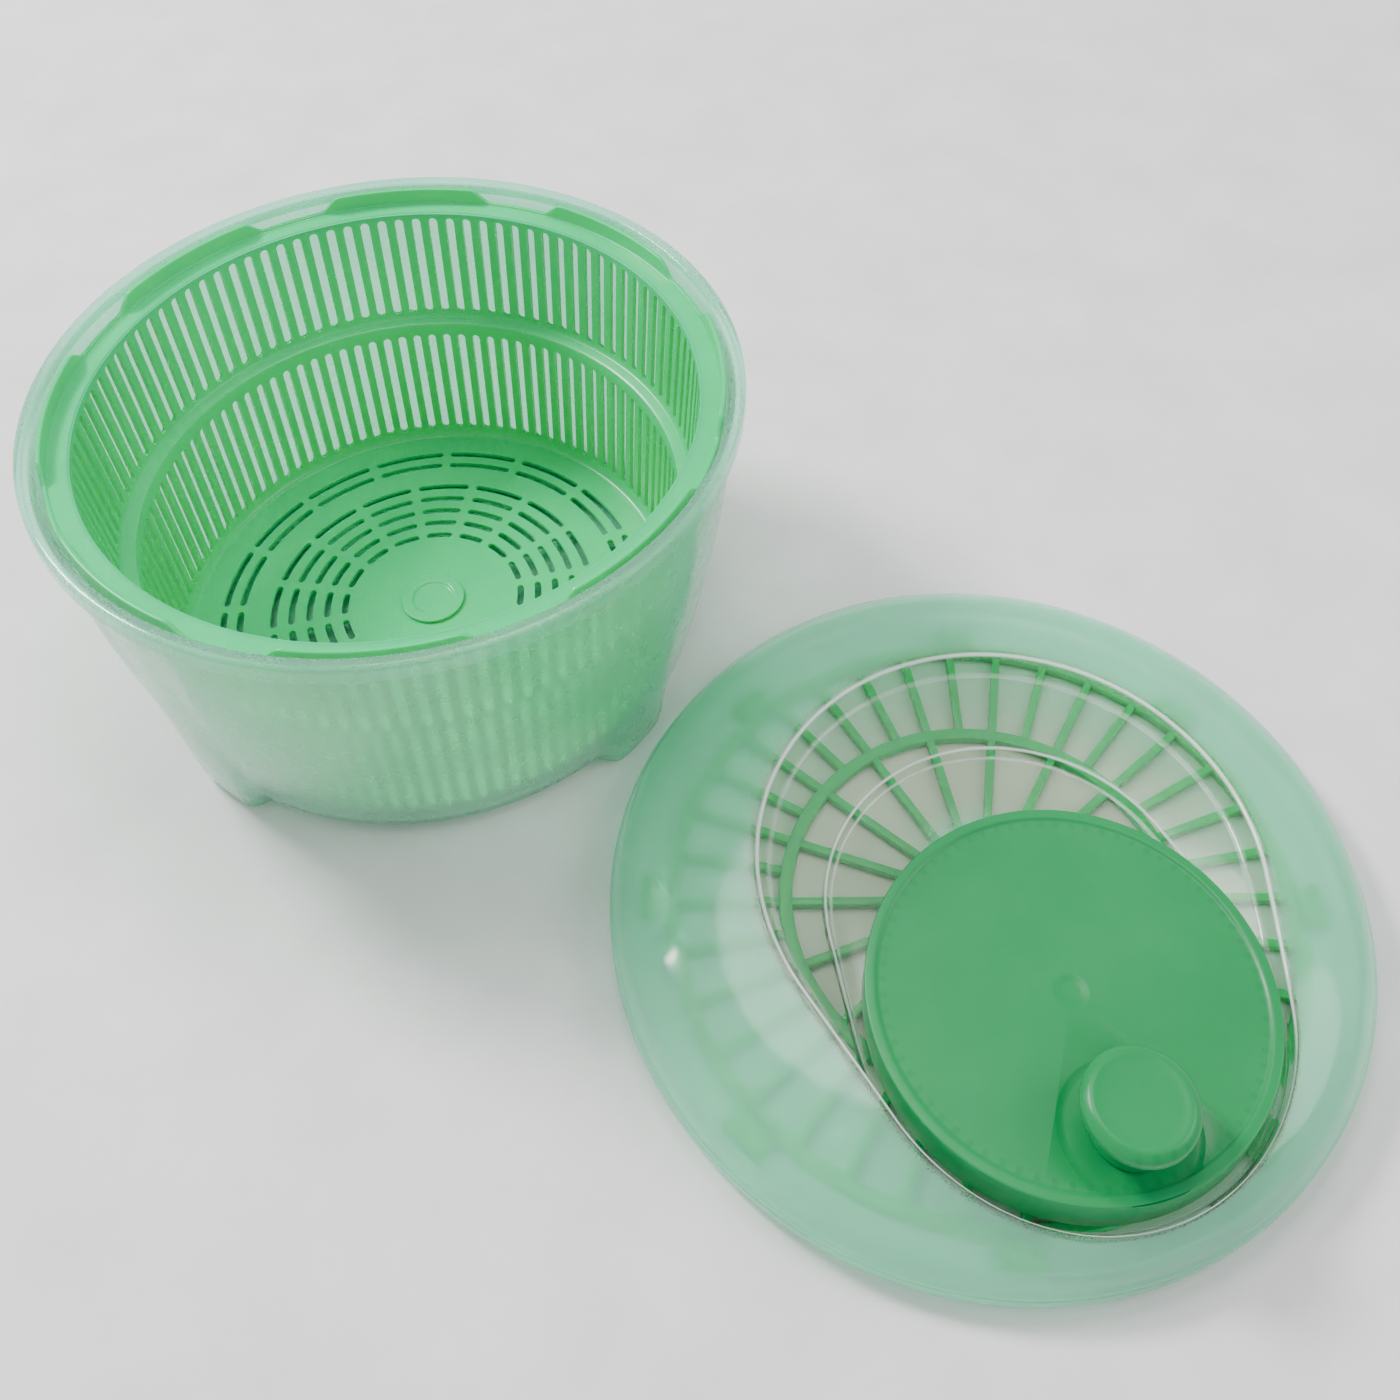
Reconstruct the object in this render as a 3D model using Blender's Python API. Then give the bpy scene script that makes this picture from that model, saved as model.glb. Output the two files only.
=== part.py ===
"""Salad spinner: a footed bowl with its basket, and its geared lid lying beside it on the table.

The origin is on the bowl's axis at table height, +Z up, and the lid lies to the front right.
The crank disc is an internal ring gear that turns about an axle beside the lid's axis. It drives
a small pinion on that axis, and the pinion carries the spoked plate that turns the basket.
"""
from math import asin, atan2, cos, pi, radians, sin, sqrt

import bmesh
import bpy
from mathutils import Matrix, Vector

MM = 0.001
GAP = 0.3 * MM                 # between neighbouring pieces
FACETS = 60                    # sides of a large turned piece
SMALL_FACETS = 16              # sides of a small turned piece

# Bowl
RIM_RADIUS = 125.0 * MM
RIM_HEIGHT = 125.5 * MM
RIM_WIDTH = 5.0 * MM
RIM_SKIRT = 7.0 * MM
BOWL_WALL = 1.8 * MM
RIM_STEP = 4.0 * MM            # rim over the outer wall just under it
FOOT_RADIUS = 107.5 * MM       # outer corner of a foot
FOOT_DEPTH = 12.0 * MM
BELLY_RADIUS = 95.0 * MM       # between the feet, where the wall meets the bottom
FOOT_COUNT = 4
FOOT_PHASE = radians(-51.5)
FOOT_HALF_ANGLE = radians(5.5)
FOOT_BLEND = radians(6.0)
BOWL_COLUMNS = 72
SPIGOT_RADIUS = 4.0 * MM
SPIGOT_HEIGHT = 3.2 * MM

# Basket
BASKET_WALL = 1.8 * MM
BASKET_DROP = 7.2 * MM         # its flange below the bowl's rim
BASKET_FLOOR_RISE = 7.2 * MM   # floor's upper face over the table
BASKET_FLANGE = 9.6 * MM       # width of the flat round its mouth
CROWN_SPACE = 1.0 * MM          # between the crown and the bowl
BASKET_BASE_SPACE = 5.0 * MM    # floor's edge inside the feet, both walls included
CROWN_WALL = 1.6 * MM
CROWN_LIP = 0.8 * MM          # left standing between the tabs
CROWN_TABS = 8
CROWN_PHASE = radians(81.0)
TAB_HEIGHT = 6.4 * MM
TAB_HALF_ANGLE = radians(16.6)
TAB_SLOPE = radians(3.3)        # each end of a tab leans by this
SLOT_COUNT = 100
SLOT_SHARE = 0.52              # open part of one slot pitch
UPPER_SLOT_TOP = 2.0 * MM      # below the flange
LOWER_SLOT_TOP = 56.0 * MM
LOWER_SLOT_LENGTH = 52.0 * MM
LEDGE_DROP = 49.5 * MM         # the inward step between the two rows of slots
LEDGE_WIDTH = 5.2 * MM
BASKET_TAPER = 3.6 * MM        # wall's lean inward over each row of slots
FLOOR_RIBS = 16
FLOOR_RIB_HALF_WIDTH = 1.6 * MM
FLOOR_RINGS = (10.2, 16.7, 29.7, 36.7, 43.7, 50.7, 57.7)    # slots, from the floor's edge
FLOOR_SLOT_WIDTH = 2.6 * MM
STAGGERED_RINGS = 2            # outer rings whose ribs sit half a pitch round
CUP_RADIUS = 12.4 * MM
CUP_STEM_RADIUS = 8.0 * MM
CUP_FLANGE = 1.2 * MM

# Lid
LID_BEARING = atan2(-179, 166) # the lid lies this way from the bowl
LID_SPACE = 8.625 * MM         # between the lid and the bowl's feet
LID_SKIRT = 2.4 * MM           # wall of the skirt round the bowl's rim
LID_WALL = 1.6 * MM
LID_SHELF = 2.0 * MM           # seat on the bowl's rim, over the skirt's lower edge
LID_SHOULDER = 8.0 * MM
DOME_HEIGHT = 26.0 * MM
DOME_FLAT_RADIUS = 70.0 * MM
RECESS_X, RECESS_Y = 6.0 * MM, -1.0 * MM
RECESS_RADIUS = 84.0 * MM
RECESS_WALL_RUN = 3.5 * MM
LEDGE_HEIGHT = 17.0 * MM
WELL_X, WELL_Y = 3.0 * MM, -13.0 * MM
WELL_RADIUS = 60.0 * MM
WELL_STEP_RUN = 1.6 * MM
WELL_LEDGE_FALL = 1.2 * MM
FLOOR_HEIGHT = 12.0 * MM
LID_COLUMNS = 60

# Crank disc with its ring gear, and the drive
CRANK_ANGLE = radians(-83.0)   # where the crank's axis stands from the lid's
KNOB_ANGLE = radians(-91.0)    # where the knob stands from the crank's axis
RING_BACK = 4.2 * MM           # disc's edge outside the pitch circle
RING_TEETH = 72
PINION_TEETH = 12
PRESSURE_ANGLE = radians(20.0)
TOOTH_PLAY = 0.45 * MM
RING_ADDENDUM = 0.75
PINION_ADDENDUM = 0.95
TOOTH_DEPTH_SPARE = 0.35
CRANK_RADIUS = 64.2 * MM
CRANK_TOP = 26.0 * MM          # over the lid's lower edge
CRANK_PLATE = 1.8 * MM
CRANK_BEAD = 0.7 * MM
CRANK_BEAD_WIDTH = 3.4 * MM
TOOTH_WIDTH = 5.6 * MM
CRANK_STUD_RADIUS = 6.5 * MM
KNOB_SET = 20.9 * MM           # knob's axis from the disc's edge
KNOB_RADIUS = 17.2 * MM
KNOB_TOP = 46.0 * MM
KNOB_CAP = 8.0 * MM
KNOB_STEM_RADIUS = 11.5 * MM
KNOB_DISH_RADIUS = 21.5 * MM
KNOB_DISH_DEPTH = 0.7 * MM
SPINDLE_RADIUS = 4.0 * MM
SPINDLE_FLANGE_RADIUS = 7.0 * MM
SHAFT_RADIUS = 4.4 * MM
KEY_RADIUS = 4.2 * MM           # corners of the hexagon that turns the plate
KEY_PHASE = radians(7.0)
BUSH_WALL = 1.8 * MM
BUSH_FLANGE = 1.2 * MM
SCREW_RADIUS = 1.5 * MM
SCREW_HEAD_RADIUS = 3.2 * MM
SCREW_HEAD = 1.8 * MM
WASHER = 0.8 * MM

# Drive plate
PLATE_THICKNESS = 3.5 * MM
PLATE_SPACE = 9.2 * MM          # plate's ring inside the crown
PLATE_RING_WIDTH = 4.2 * MM
MID_RING_RADIUS = 70.4 * MM
MID_RING_WIDTH = 4.6 * MM
HUB_RADIUS = 17.0 * MM
BOSS_RADIUS = 8.5 * MM
OUTER_SPOKES = 36
SPOKE_WIDTH = 3.0 * MM
SPOKE_PHASE = radians(5.6)
LUG_COUNT = 8
LUG_PHASE = radians(-16.0)
LUG_WIDTH = 15.0 * MM
LUG_REACH = 8.6 * MM

# Sizes and places that follow from the sizes above
BOWL_NECK_RADIUS = RIM_RADIUS - RIM_STEP
CROWN_RADIUS = BOWL_NECK_RADIUS - BOWL_WALL - CROWN_SPACE
BASKET_MOUTH_RADIUS = CROWN_RADIUS - BASKET_FLANGE
BASKET_BASE_RADIUS = min(BELLY_RADIUS + 1.2 * MM, FOOT_RADIUS - BASKET_BASE_SPACE)
PLATE_RADIUS = CROWN_RADIUS - PLATE_SPACE
SKIRT_INNER = RIM_RADIUS + 2 * GAP
LID_RADIUS = SKIRT_INNER + LID_SKIRT
LID_DISTANCE = FOOT_RADIUS + LID_SPACE + LID_RADIUS
LID_X, LID_Y = LID_DISTANCE * cos(LID_BEARING), LID_DISTANCE * sin(LID_BEARING)
TOOTH_MODULE = 2 * (CRANK_RADIUS - RING_BACK) / RING_TEETH
KNOB_THROW = CRANK_RADIUS - KNOB_SET
CRANK_OFFSET = TOOTH_MODULE * (RING_TEETH - PINION_TEETH) / 2
CRANK_X, CRANK_Y = CRANK_OFFSET * cos(CRANK_ANGLE), CRANK_OFFSET * sin(CRANK_ANGLE)
FLANGE_Z = RIM_HEIGHT - BASKET_DROP
PLATE_DROP = BASKET_DROP - GAP - LID_SHELF   # plate's lower face below the lid's lower edge
LID_Z = PLATE_DROP                           # the lid lies on its drive plate
TOOTH_LOW = FLOOR_HEIGHT + 2 * GAP + BUSH_FLANGE
LID = Matrix.Translation((LID_X, LID_Y, LID_Z))
CRANK = LID @ Matrix.Translation((CRANK_X, CRANK_Y, 0))
KNOB = CRANK @ Matrix.Translation((KNOB_THROW * cos(KNOB_ANGLE), KNOB_THROW * sin(KNOB_ANGLE), 0))


def material(name, colour, roughness, alpha=1.0, metallic=0.0):
    made = bpy.data.materials.new(name)
    made.use_nodes = True
    shader = made.node_tree.nodes["Principled BSDF"]
    shader.inputs["Base Color"].default_value = (*colour, 1)
    shader.inputs["Roughness"].default_value = roughness
    shader.inputs["Metallic"].default_value = metallic
    shader.inputs["Alpha"].default_value = alpha
    return made


def finish(name, mesh_data, look, place=Matrix()):
    """Closes a bmesh into a named, smooth-shaded object that stands at place."""
    bmesh.ops.remove_doubles(mesh_data, verts=mesh_data.verts, dist=1e-6)
    bmesh.ops.recalc_face_normals(mesh_data, faces=mesh_data.faces)
    mesh = bpy.data.meshes.new(name)
    mesh_data.to_mesh(mesh)
    mesh_data.free()
    mesh.materials.append(look)
    mesh.shade_smooth()
    mesh.set_sharp_from_angle(angle=radians(35))
    made = bpy.data.objects.new(name, mesh)
    bpy.context.scene.collection.objects.link(made)
    made.matrix_world = place
    bpy.context.view_layer.update()
    return made


def turned(profile, sides=SMALL_FACETS):
    """Spins a profile of (radius, height) points about Z; one that starts on the axis ends on it."""
    shape = bmesh.new()
    points = [shape.verts.new((r, 0, z)) for r, z in profile]
    edges = [shape.edges.new(pair) for pair in zip(points, points[1:])]
    if profile[0][0] > 0:
        edges.append(shape.edges.new((points[-1], points[0])))
    bmesh.ops.spin(shape, geom=points + edges, cent=(0, 0, 0), axis=(0, 0, 1),
                   angle=2 * pi, steps=sides, use_merge=True)
    return shape


def skin(shape, rings, closed=False):
    """Joins rings of points, each with the same count, into bands of faces."""
    rows = [[shape.verts.new(point) for point in ring] for ring in rings]
    pairs = list(zip(rows, rows[1:])) + ([(rows[-1], rows[0])] if closed else [])
    for low, high in pairs:
        for i in range(len(low)):
            j = (i + 1) % len(low)
            shape.faces.new((low[i], low[j], high[j], high[i]))
    return rows


def cap(shape, ring, centre):
    """Closes a ring with a fan to its centre."""
    middle = shape.verts.new(centre)
    for i, point in enumerate(ring):
        shape.faces.new((point, ring[(i + 1) % len(ring)], middle))


def prism(outlines, low, high):
    """Extrudes a face outline, with any holes, between two heights."""
    shape = bmesh.new()
    edges = []
    for outline in outlines:
        points = [shape.verts.new((x, y, low)) for x, y in outline]
        edges += [shape.edges.new((p, points[(i + 1) % len(points)])) for i, p in enumerate(points)]
    bmesh.ops.triangle_fill(shape, edges=edges, use_beauty=True)
    grown = bmesh.ops.extrude_face_region(shape, geom=shape.faces[:])
    bmesh.ops.translate(shape, vec=(0, 0, high - low),
                        verts=[g for g in grown["geom"] if isinstance(g, bmesh.types.BMVert)])
    return shape


def circle(radius, sides, phase=0.0):
    return [(radius * cos(phase + 2 * pi * i / sides), radius * sin(phase + 2 * pi * i / sides))
            for i in range(sides)]


def combine(base, tool, operation="UNION"):
    """Applies a Boolean to a finished object with another, which is then removed."""
    step = base.modifiers.new("cut", "BOOLEAN")
    step.operation, step.solver, step.object = operation, "EXACT", tool
    bpy.context.view_layer.update()
    mesh = bpy.data.meshes.new_from_object(base.evaluated_get(bpy.context.evaluated_depsgraph_get()))
    base.modifiers.remove(step)
    base.data = mesh
    bpy.data.objects.remove(tool)
    mesh.shade_smooth()
    mesh.set_sharp_from_angle(angle=radians(35))


def smooth_step(value):
    value = min(1.0, max(0.0, value))
    return value * value * (3 - 2 * value)


def angle_between(angle, spacing, phase):
    """Distance from the nearest of the evenly spaced angles."""
    return abs((angle - phase + spacing / 2) % spacing - spacing / 2)


# Bowl ------------------------------------------------------------------------------------------

def bowl_profiles():
    """Outer profile down a foot and down the belly between two feet, point for point."""
    top = RIM_HEIGHT - RIM_SKIRT
    lean = (BOWL_NECK_RADIUS - FOOT_RADIUS) / top
    fillet = 3.0 * MM
    heights = [top * share for share in (1, 0.75, 0.5, 0.28, 0.12)]
    foot = [(FOOT_RADIUS + lean * z, z) for z in heights]
    foot += [(FOOT_RADIUS - 0.3 * fillet, 0.4 * fillet), (FOOT_RADIUS - fillet, 0.0),
             (FOOT_RADIUS - FOOT_DEPTH, 0.0)]
    belly = []
    for z in heights:
        fall = 1 - z / top
        belly.append((BELLY_RADIUS + 7 * MM + (BOWL_NECK_RADIUS - BELLY_RADIUS - 7 * MM) * (1 - fall ** 1.6), z))
    belly += [(BELLY_RADIUS + 3.5 * MM, 4.5 * MM), (BELLY_RADIUS - 1 * MM, 1.2 * MM), (BELLY_RADIUS - 7 * MM, 0.0)]
    last = BELLY_RADIUS - 14 * MM
    return foot + [(last, 0.0)], belly + [(last, 0.0)]


def bowl_outer(column):
    angle = 2 * pi * column / BOWL_COLUMNS
    away = angle_between(angle, 2 * pi / FOOT_COUNT, FOOT_PHASE)
    share = smooth_step((away - FOOT_HALF_ANGLE) / FOOT_BLEND)
    return [(f[0] + (b[0] - f[0]) * share, f[1] + (b[1] - f[1]) * share)
            for f, b in zip(*bowl_profiles())]


def inset(profile, wall):
    """The same profile a wall's thickness inside, for a wall that runs down and then inward."""
    made = []
    for i, (r, z) in enumerate(profile):
        before, after = profile[max(i - 1, 0)], profile[min(i + 1, len(profile) - 1)]
        run, rise = after[0] - before[0], after[1] - before[1]
        size = sqrt(run * run + rise * rise)
        made.append((r + wall * rise / size, z - wall * run / size))
    return made


def make_bowl(look):
    outer, inner = [], []
    for column in range(BOWL_COLUMNS):
        profile = bowl_outer(column)
        outer.append(profile)
        inner.append(inset(profile, BOWL_WALL))
    top = RIM_HEIGHT
    rim = [(BOWL_NECK_RADIUS, top - RIM_SKIRT + 4 * MM), (RIM_RADIUS - 1.6 * MM, top - RIM_SKIRT + 4 * MM),
           (RIM_RADIUS - 1.6 * MM, top - RIM_SKIRT), (RIM_RADIUS, top - RIM_SKIRT),
           (RIM_RADIUS, top - 1.2 * MM), (RIM_RADIUS - 1.2 * MM, top),
           (RIM_RADIUS - RIM_WIDTH + 0.8 * MM, top), (RIM_RADIUS - RIM_WIDTH, top - 0.8 * MM)]
    shape = bmesh.new()

    def ring(points):
        return [(r * cos(2 * pi * i / BOWL_COLUMNS), r * sin(2 * pi * i / BOWL_COLUMNS), z)
                for i, (r, z) in enumerate(points)]

    rings = [ring([column[k] for column in outer]) for k in reversed(range(len(outer[0])))]
    rings += [ring([point] * BOWL_COLUMNS) for point in rim]
    rings += [ring([column[k] for column in inner]) for k in range(len(inner[0]))]
    floor = BOWL_WALL
    tip = floor + SPIGOT_HEIGHT
    for point in ((SPIGOT_RADIUS, floor), (SPIGOT_RADIUS, tip - 1 * MM), (SPIGOT_RADIUS - 1 * MM, tip)):
        rings.append(ring([point] * BOWL_COLUMNS))
    rows = skin(shape, rings)
    cap(shape, rows[0], (0, 0, 0))
    cap(shape, rows[-1], (0, 0, tip))
    finish("bowl", shape, look)


# Basket ----------------------------------------------------------------------------------------

def basket_levels():
    """Inner radius and height at each level of the wall, from the flange down to the floor."""
    floor = BASKET_FLOOR_RISE
    upper = BASKET_MOUTH_RADIUS - BASKET_TAPER
    lower = upper - LEDGE_WIDTH
    fillet = 3.5 * MM
    return [(BASKET_MOUTH_RADIUS, FLANGE_Z), (BASKET_MOUTH_RADIUS - 0.4 * MM, FLANGE_Z - UPPER_SLOT_TOP),
            (upper, FLANGE_Z - LEDGE_DROP), (lower, FLANGE_Z - LEDGE_DROP - 1.5 * MM),
            (lower - 0.4 * MM, FLANGE_Z - LOWER_SLOT_TOP),
            (BASKET_BASE_RADIUS, FLANGE_Z - LOWER_SLOT_TOP - LOWER_SLOT_LENGTH),
            (BASKET_BASE_RADIUS - fillet, floor)]


def basket_outer_levels():
    """The outer face of the same levels, square across the slots and under the ledge."""
    made = []
    for k, (r, z) in enumerate(basket_levels()):
        made.append((r + BASKET_WALL, z - BASKET_WALL if k in (0, 2, 3) else z))
    r, z = made[-1]
    return made[:-1] + [(r - BASKET_WALL / 2, z - BASKET_WALL)]


def spread(rings_of_radius_height, angles):
    return [[(r * cos(a), r * sin(a), z) for a in angles] for r, z in rings_of_radius_height]


def bridge(shape, low, high):
    """Joins two rings that hold different numbers of points, in step by their angle."""
    rings, angles = [], []
    for row in (low, high):
        ordered = sorted(row, key=lambda point: atan2(point.co.y, point.co.x))
        turns = [atan2(point.co.y, point.co.x) for point in ordered]
        rings.append(ordered + ordered[:1])
        angles.append(turns + [turns[0] + 2 * pi])
    i = j = 0
    while i + 1 < len(rings[0]) or j + 1 < len(rings[1]):
        on_low = j + 1 == len(rings[1]) or (i + 1 < len(rings[0]) and angles[0][i + 1] <= angles[1][j + 1])
        ahead = rings[0][i + 1] if on_low else rings[1][j + 1]
        shape.faces.new((rings[0][i], ahead, rings[1][j]))
        i, j = (i + 1, j) if on_low else (i, j + 1)


def walls_with_windows(shape, inner, outer, windows):
    """Two skins over the same grid, with open cells (row, column) framed between them."""
    count = len(inner[0])
    for k in range(len(inner) - 1):
        for c in range(count):
            d = (c + 1) % count
            cells = [(side[k][c], side[k][d], side[k + 1][d], side[k + 1][c]) for side in (inner, outer)]
            if not windows(k, c):
                for cell in cells:
                    shape.faces.new(cell)
                continue
            edge = list(zip(*cells))
            beside = ((k - 1, c), (k, d), (k + 1, c), (k, (c - 1) % count))
            for n, neighbour in enumerate(beside):
                if not windows(*neighbour):
                    a, b = edge[n], edge[(n + 1) % 4]
                    shape.faces.new((a[0], b[0], b[1], a[1]))


def crown_outline():
    """Angle and height over the flange of each point round the crown."""
    made = []
    pitch = 2 * pi / CROWN_TABS
    for tab in range(CROWN_TABS):
        middle = CROWN_PHASE + tab * pitch
        top = TAB_HALF_ANGLE - TAB_SLOPE
        made.append((middle - TAB_HALF_ANGLE, CROWN_LIP))
        made += [(middle + top * share, TAB_HEIGHT) for share in (-1, -1 / 3, 1 / 3, 1)]
        made += [(middle + TAB_HALF_ANGLE, CROWN_LIP), (middle + pitch / 2, CROWN_LIP)]
    return made


def floor_part(shape, radii, phase):
    """Upper and lower grids of a band of the floor; every other ring of cells is slotted."""
    turns = []
    for radius in radii:
        half = min(asin(FLOOR_RIB_HALF_WIDTH / radius), radians(3))
        turns.append([phase + 2 * pi * k / FLOOR_RIBS + side * half for k in range(FLOOR_RIBS) for side in (-1, 1)])
    sides = [[[shape.verts.new((r * cos(a), r * sin(a), z)) for a in angles] for r, angles in zip(radii, turns)]
             for z in (BASKET_FLOOR_RISE, BASKET_FLOOR_RISE - BASKET_WALL)]
    walls_with_windows(shape, *sides, lambda row, column: row % 2 == 1 and column % 2 == 1
                       and row < len(radii) - 2)
    return sides


def make_basket(look):
    pitch = 2 * pi / SLOT_COUNT
    angles = [i * pitch + side * pitch * SLOT_SHARE / 2 for i in range(SLOT_COUNT) for side in (-1, 1)]
    shape = bmesh.new()
    grids = [[[shape.verts.new(p) for p in ring] for ring in spread(levels, angles)]
             for levels in (basket_levels(), basket_outer_levels())]
    walls_with_windows(shape, *grids, lambda k, c: k in (1, 4) and c % 2 == 0)

    crown = crown_outline()
    inner_radius = CROWN_RADIUS - CROWN_WALL
    base, under = FLANGE_Z, FLANGE_Z - BASKET_WALL
    rings = [[(inner_radius, base)] * len(crown), [(inner_radius, base + h) for _, h in crown],
             [(CROWN_RADIUS, base + h) for _, h in crown], [(CROWN_RADIUS, under)] * len(crown)]
    rows = skin(shape, [[(r * cos(a), r * sin(a), z) for (r, z), (a, _) in zip(ring, crown)] for ring in rings])
    bridge(shape, grids[0][0], rows[0])
    bridge(shape, grids[1][0], rows[-1])

    half = FLOOR_SLOT_WIDTH / 2
    edge = basket_levels()[-1][0]
    edges = [edge - r * MM + side for r in FLOOR_RINGS for side in (half, -half)]
    split = 2 * STAGGERED_RINGS
    middle = (edges[split - 1] + edges[split]) / 2
    outer = floor_part(shape, [edges[0] + 2 * half] + edges[:split] + [middle], pi / FLOOR_RIBS)
    inner = floor_part(shape, [middle - half] + edges[split:] + [CUP_STEM_RADIUS + GAP], 0.0)
    top, bottom = inner[0][-1], inner[1][-1]
    for i in range(len(top)):
        j = (i + 1) % len(top)
        shape.faces.new((top[i], top[j], bottom[j], bottom[i]))
    for side in (0, 1):
        bridge(shape, grids[side][-1], outer[side][0])
        bridge(shape, outer[side][-1], inner[side][0])
    finish("basket", shape, look)


def make_pivot_cup(look):
    floor, under = BASKET_FLOOR_RISE, BASKET_FLOOR_RISE - BASKET_WALL
    low = under - GAP - CUP_FLANGE
    socket = BOWL_WALL + SPIGOT_HEIGHT + GAP
    high = floor + GAP
    profile = [(0, socket), (SPIGOT_RADIUS + GAP, socket), (SPIGOT_RADIUS + GAP, low),
               (CUP_RADIUS - 1.4 * MM, low), (CUP_RADIUS - 1.4 * MM, low + CUP_FLANGE),
               (CUP_STEM_RADIUS, low + CUP_FLANGE), (CUP_STEM_RADIUS, high), (CUP_RADIUS, high),
               (CUP_RADIUS, high + 0.5 * CUP_FLANGE), (CUP_RADIUS - 0.8 * MM, high + CUP_FLANGE),
               (0.7 * CUP_RADIUS, high + CUP_FLANGE), (0.5 * CUP_RADIUS, high + 0.5 * CUP_FLANGE),
               (0, high + 0.5 * CUP_FLANGE)]
    finish("pivot_cup", turned(profile), look)


# Lid -------------------------------------------------------------------------------------------

EYE = Vector((4.0 * MM, -20.0 * MM))       # every ring of the lid is met by rays from this point
ROUND = (0.0, 0.0)
RECESS = (RECESS_X, RECESS_Y)
WELL = (WELL_X, WELL_Y)


def oval(centre, radius, crank_radius=None):
    """Ring round two circles, one at centre and one on the crank's axis, as a stretched band."""
    first = Vector(centre)
    last, end = (first, radius) if crank_radius is None else (Vector((CRANK_X, CRANK_Y)), crank_radius)
    points = []
    for column in range(LID_COLUMNS):
        angle = 2 * pi * column / LID_COLUMNS
        ray = Vector((cos(angle), sin(angle)))
        reach = 0.0
        for step in range(33):
            share = step / 32
            to = first.lerp(last, share) - EYE
            size = radius + (end - radius) * share
            along = to.dot(ray)
            reach = max(reach, along + sqrt(max(0.0, size * size - to.length_squared + along * along)))
        points.append(EYE + ray * reach)
    return points


def dome(radius):
    """Height of the lid's upper face at a distance from its axis."""
    share = (radius - DOME_FLAT_RADIUS) / (LID_RADIUS - 1.4 * MM - DOME_FLAT_RADIUS)
    return LID_SHOULDER + (DOME_HEIGHT - LID_SHOULDER) * sqrt(max(0.0, 1 - max(0.0, share) ** 2))


def level(ring, height):
    return [(*point, height) for point in ring]


def domed(ring, out=0.0, down=0.0):
    return [(*point, dome(point.length + out) - down) for point in ring]


def between(ring, other, share):
    return [a.lerp(b, share) for a, b in zip(ring, other)]


def make_lid(look):
    wall = LID_WALL
    crank = CRANK_RADIUS + 2.2 * MM        # the well's wall round the crank disc
    ledge = LEDGE_HEIGHT - WELL_LEDGE_FALL
    bead, shoulder = LID_RADIUS - 0.7 * MM, oval(ROUND, LID_RADIUS - 1.4 * MM)
    crest = oval(RECESS, RECESS_RADIUS, crank + 2.2 * MM)
    rings = [level(oval(WELL, WELL_RADIUS, crank), FLOOR_HEIGHT),
             level(oval(WELL, WELL_RADIUS + WELL_STEP_RUN, crank + 0.8 * MM), ledge),
             level(oval(RECESS, RECESS_RADIUS - RECESS_WALL_RUN, crank + 1.5 * MM), LEDGE_HEIGHT),
             domed(crest)]
    rings += [domed(between(crest, shoulder, share)) for share in (0.35, 0.7, 0.92)]
    rings += [level(shoulder, LID_SHOULDER)]
    for radius, height in ((LID_RADIUS, 6.2), (bead, 4.2), (LID_RADIUS, 3.0), (LID_RADIUS, 0.0)):
        rings.append(level(oval(ROUND, radius), height * MM))
    seat = oval(ROUND, SKIRT_INNER - 2.8 * MM)
    rings += [level(oval(ROUND, SKIRT_INNER), 0.0), level(oval(ROUND, SKIRT_INNER), LID_SHELF),
              level(seat, LID_SHELF), domed(seat, 0.9 * MM, wall)]
    hollow = oval(RECESS, RECESS_RADIUS + wall, crank + 3.4 * MM)
    rings += [domed(between(hollow, seat, share), 0.9 * MM, wall) for share in (0.7, 0.35, 0)]
    rings += [level(oval(RECESS, RECESS_RADIUS - RECESS_WALL_RUN + wall, crank + 2.7 * MM), LEDGE_HEIGHT - wall),
              level(oval(WELL, WELL_RADIUS + WELL_STEP_RUN + wall, crank + 2.0 * MM), ledge - wall),
              level(oval(WELL, WELL_RADIUS + wall, crank + 1.2 * MM), FLOOR_HEIGHT - wall)]
    shape = bmesh.new()
    rows = skin(shape, rings)
    cap(shape, rows[0], (*EYE, FLOOR_HEIGHT))
    cap(shape, rows[-1], (*EYE, FLOOR_HEIGHT - wall))
    lid = finish("lid_shell", shape, look, LID)
    for name, place, radius in (("drive_hole", LID, SHAFT_RADIUS + BUSH_WALL + 2 * GAP),
                                ("crank_hole", CRANK, CRANK_STUD_RADIUS + GAP)):
        drill = turned([(0, 0), (radius, 0), (radius, 2 * FLOOR_HEIGHT), (0, 2 * FLOOR_HEIGHT)])
        combine(lid, finish(name, drill, look, place), "DIFFERENCE")


# Gears -----------------------------------------------------------------------------------------

def tooth_half_angle(teeth, radius, sign):
    """Half of a tooth's angle at a radius: sign +1 for a pinion, -1 for a ring gear."""
    pitch_radius = TOOTH_MODULE * teeth / 2
    base = pitch_radius * cos(PRESSURE_ANGLE)

    def involute(r):
        slope = sqrt(max(0.0, (r / base) ** 2 - 1))
        return slope - atan2(slope, 1)

    at_pitch = (pi * TOOTH_MODULE / 2 - TOOTH_PLAY) / (2 * pitch_radius)
    return at_pitch + sign * (involute(pitch_radius) - involute(max(radius, base)))


def gear_outline(teeth, radii, sign, phase):
    """Points round a gear, up one flank of each tooth and down the other."""
    points = []
    for tooth in range(teeth):
        middle = phase + 2 * pi * tooth / teeth
        for side, flank in ((-1, radii), (1, radii[::-1])):
            for radius in flank:
                angle = middle + side * tooth_half_angle(teeth, radius, sign)
                points.append((radius * cos(angle), radius * sin(angle)))
    return points


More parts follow.
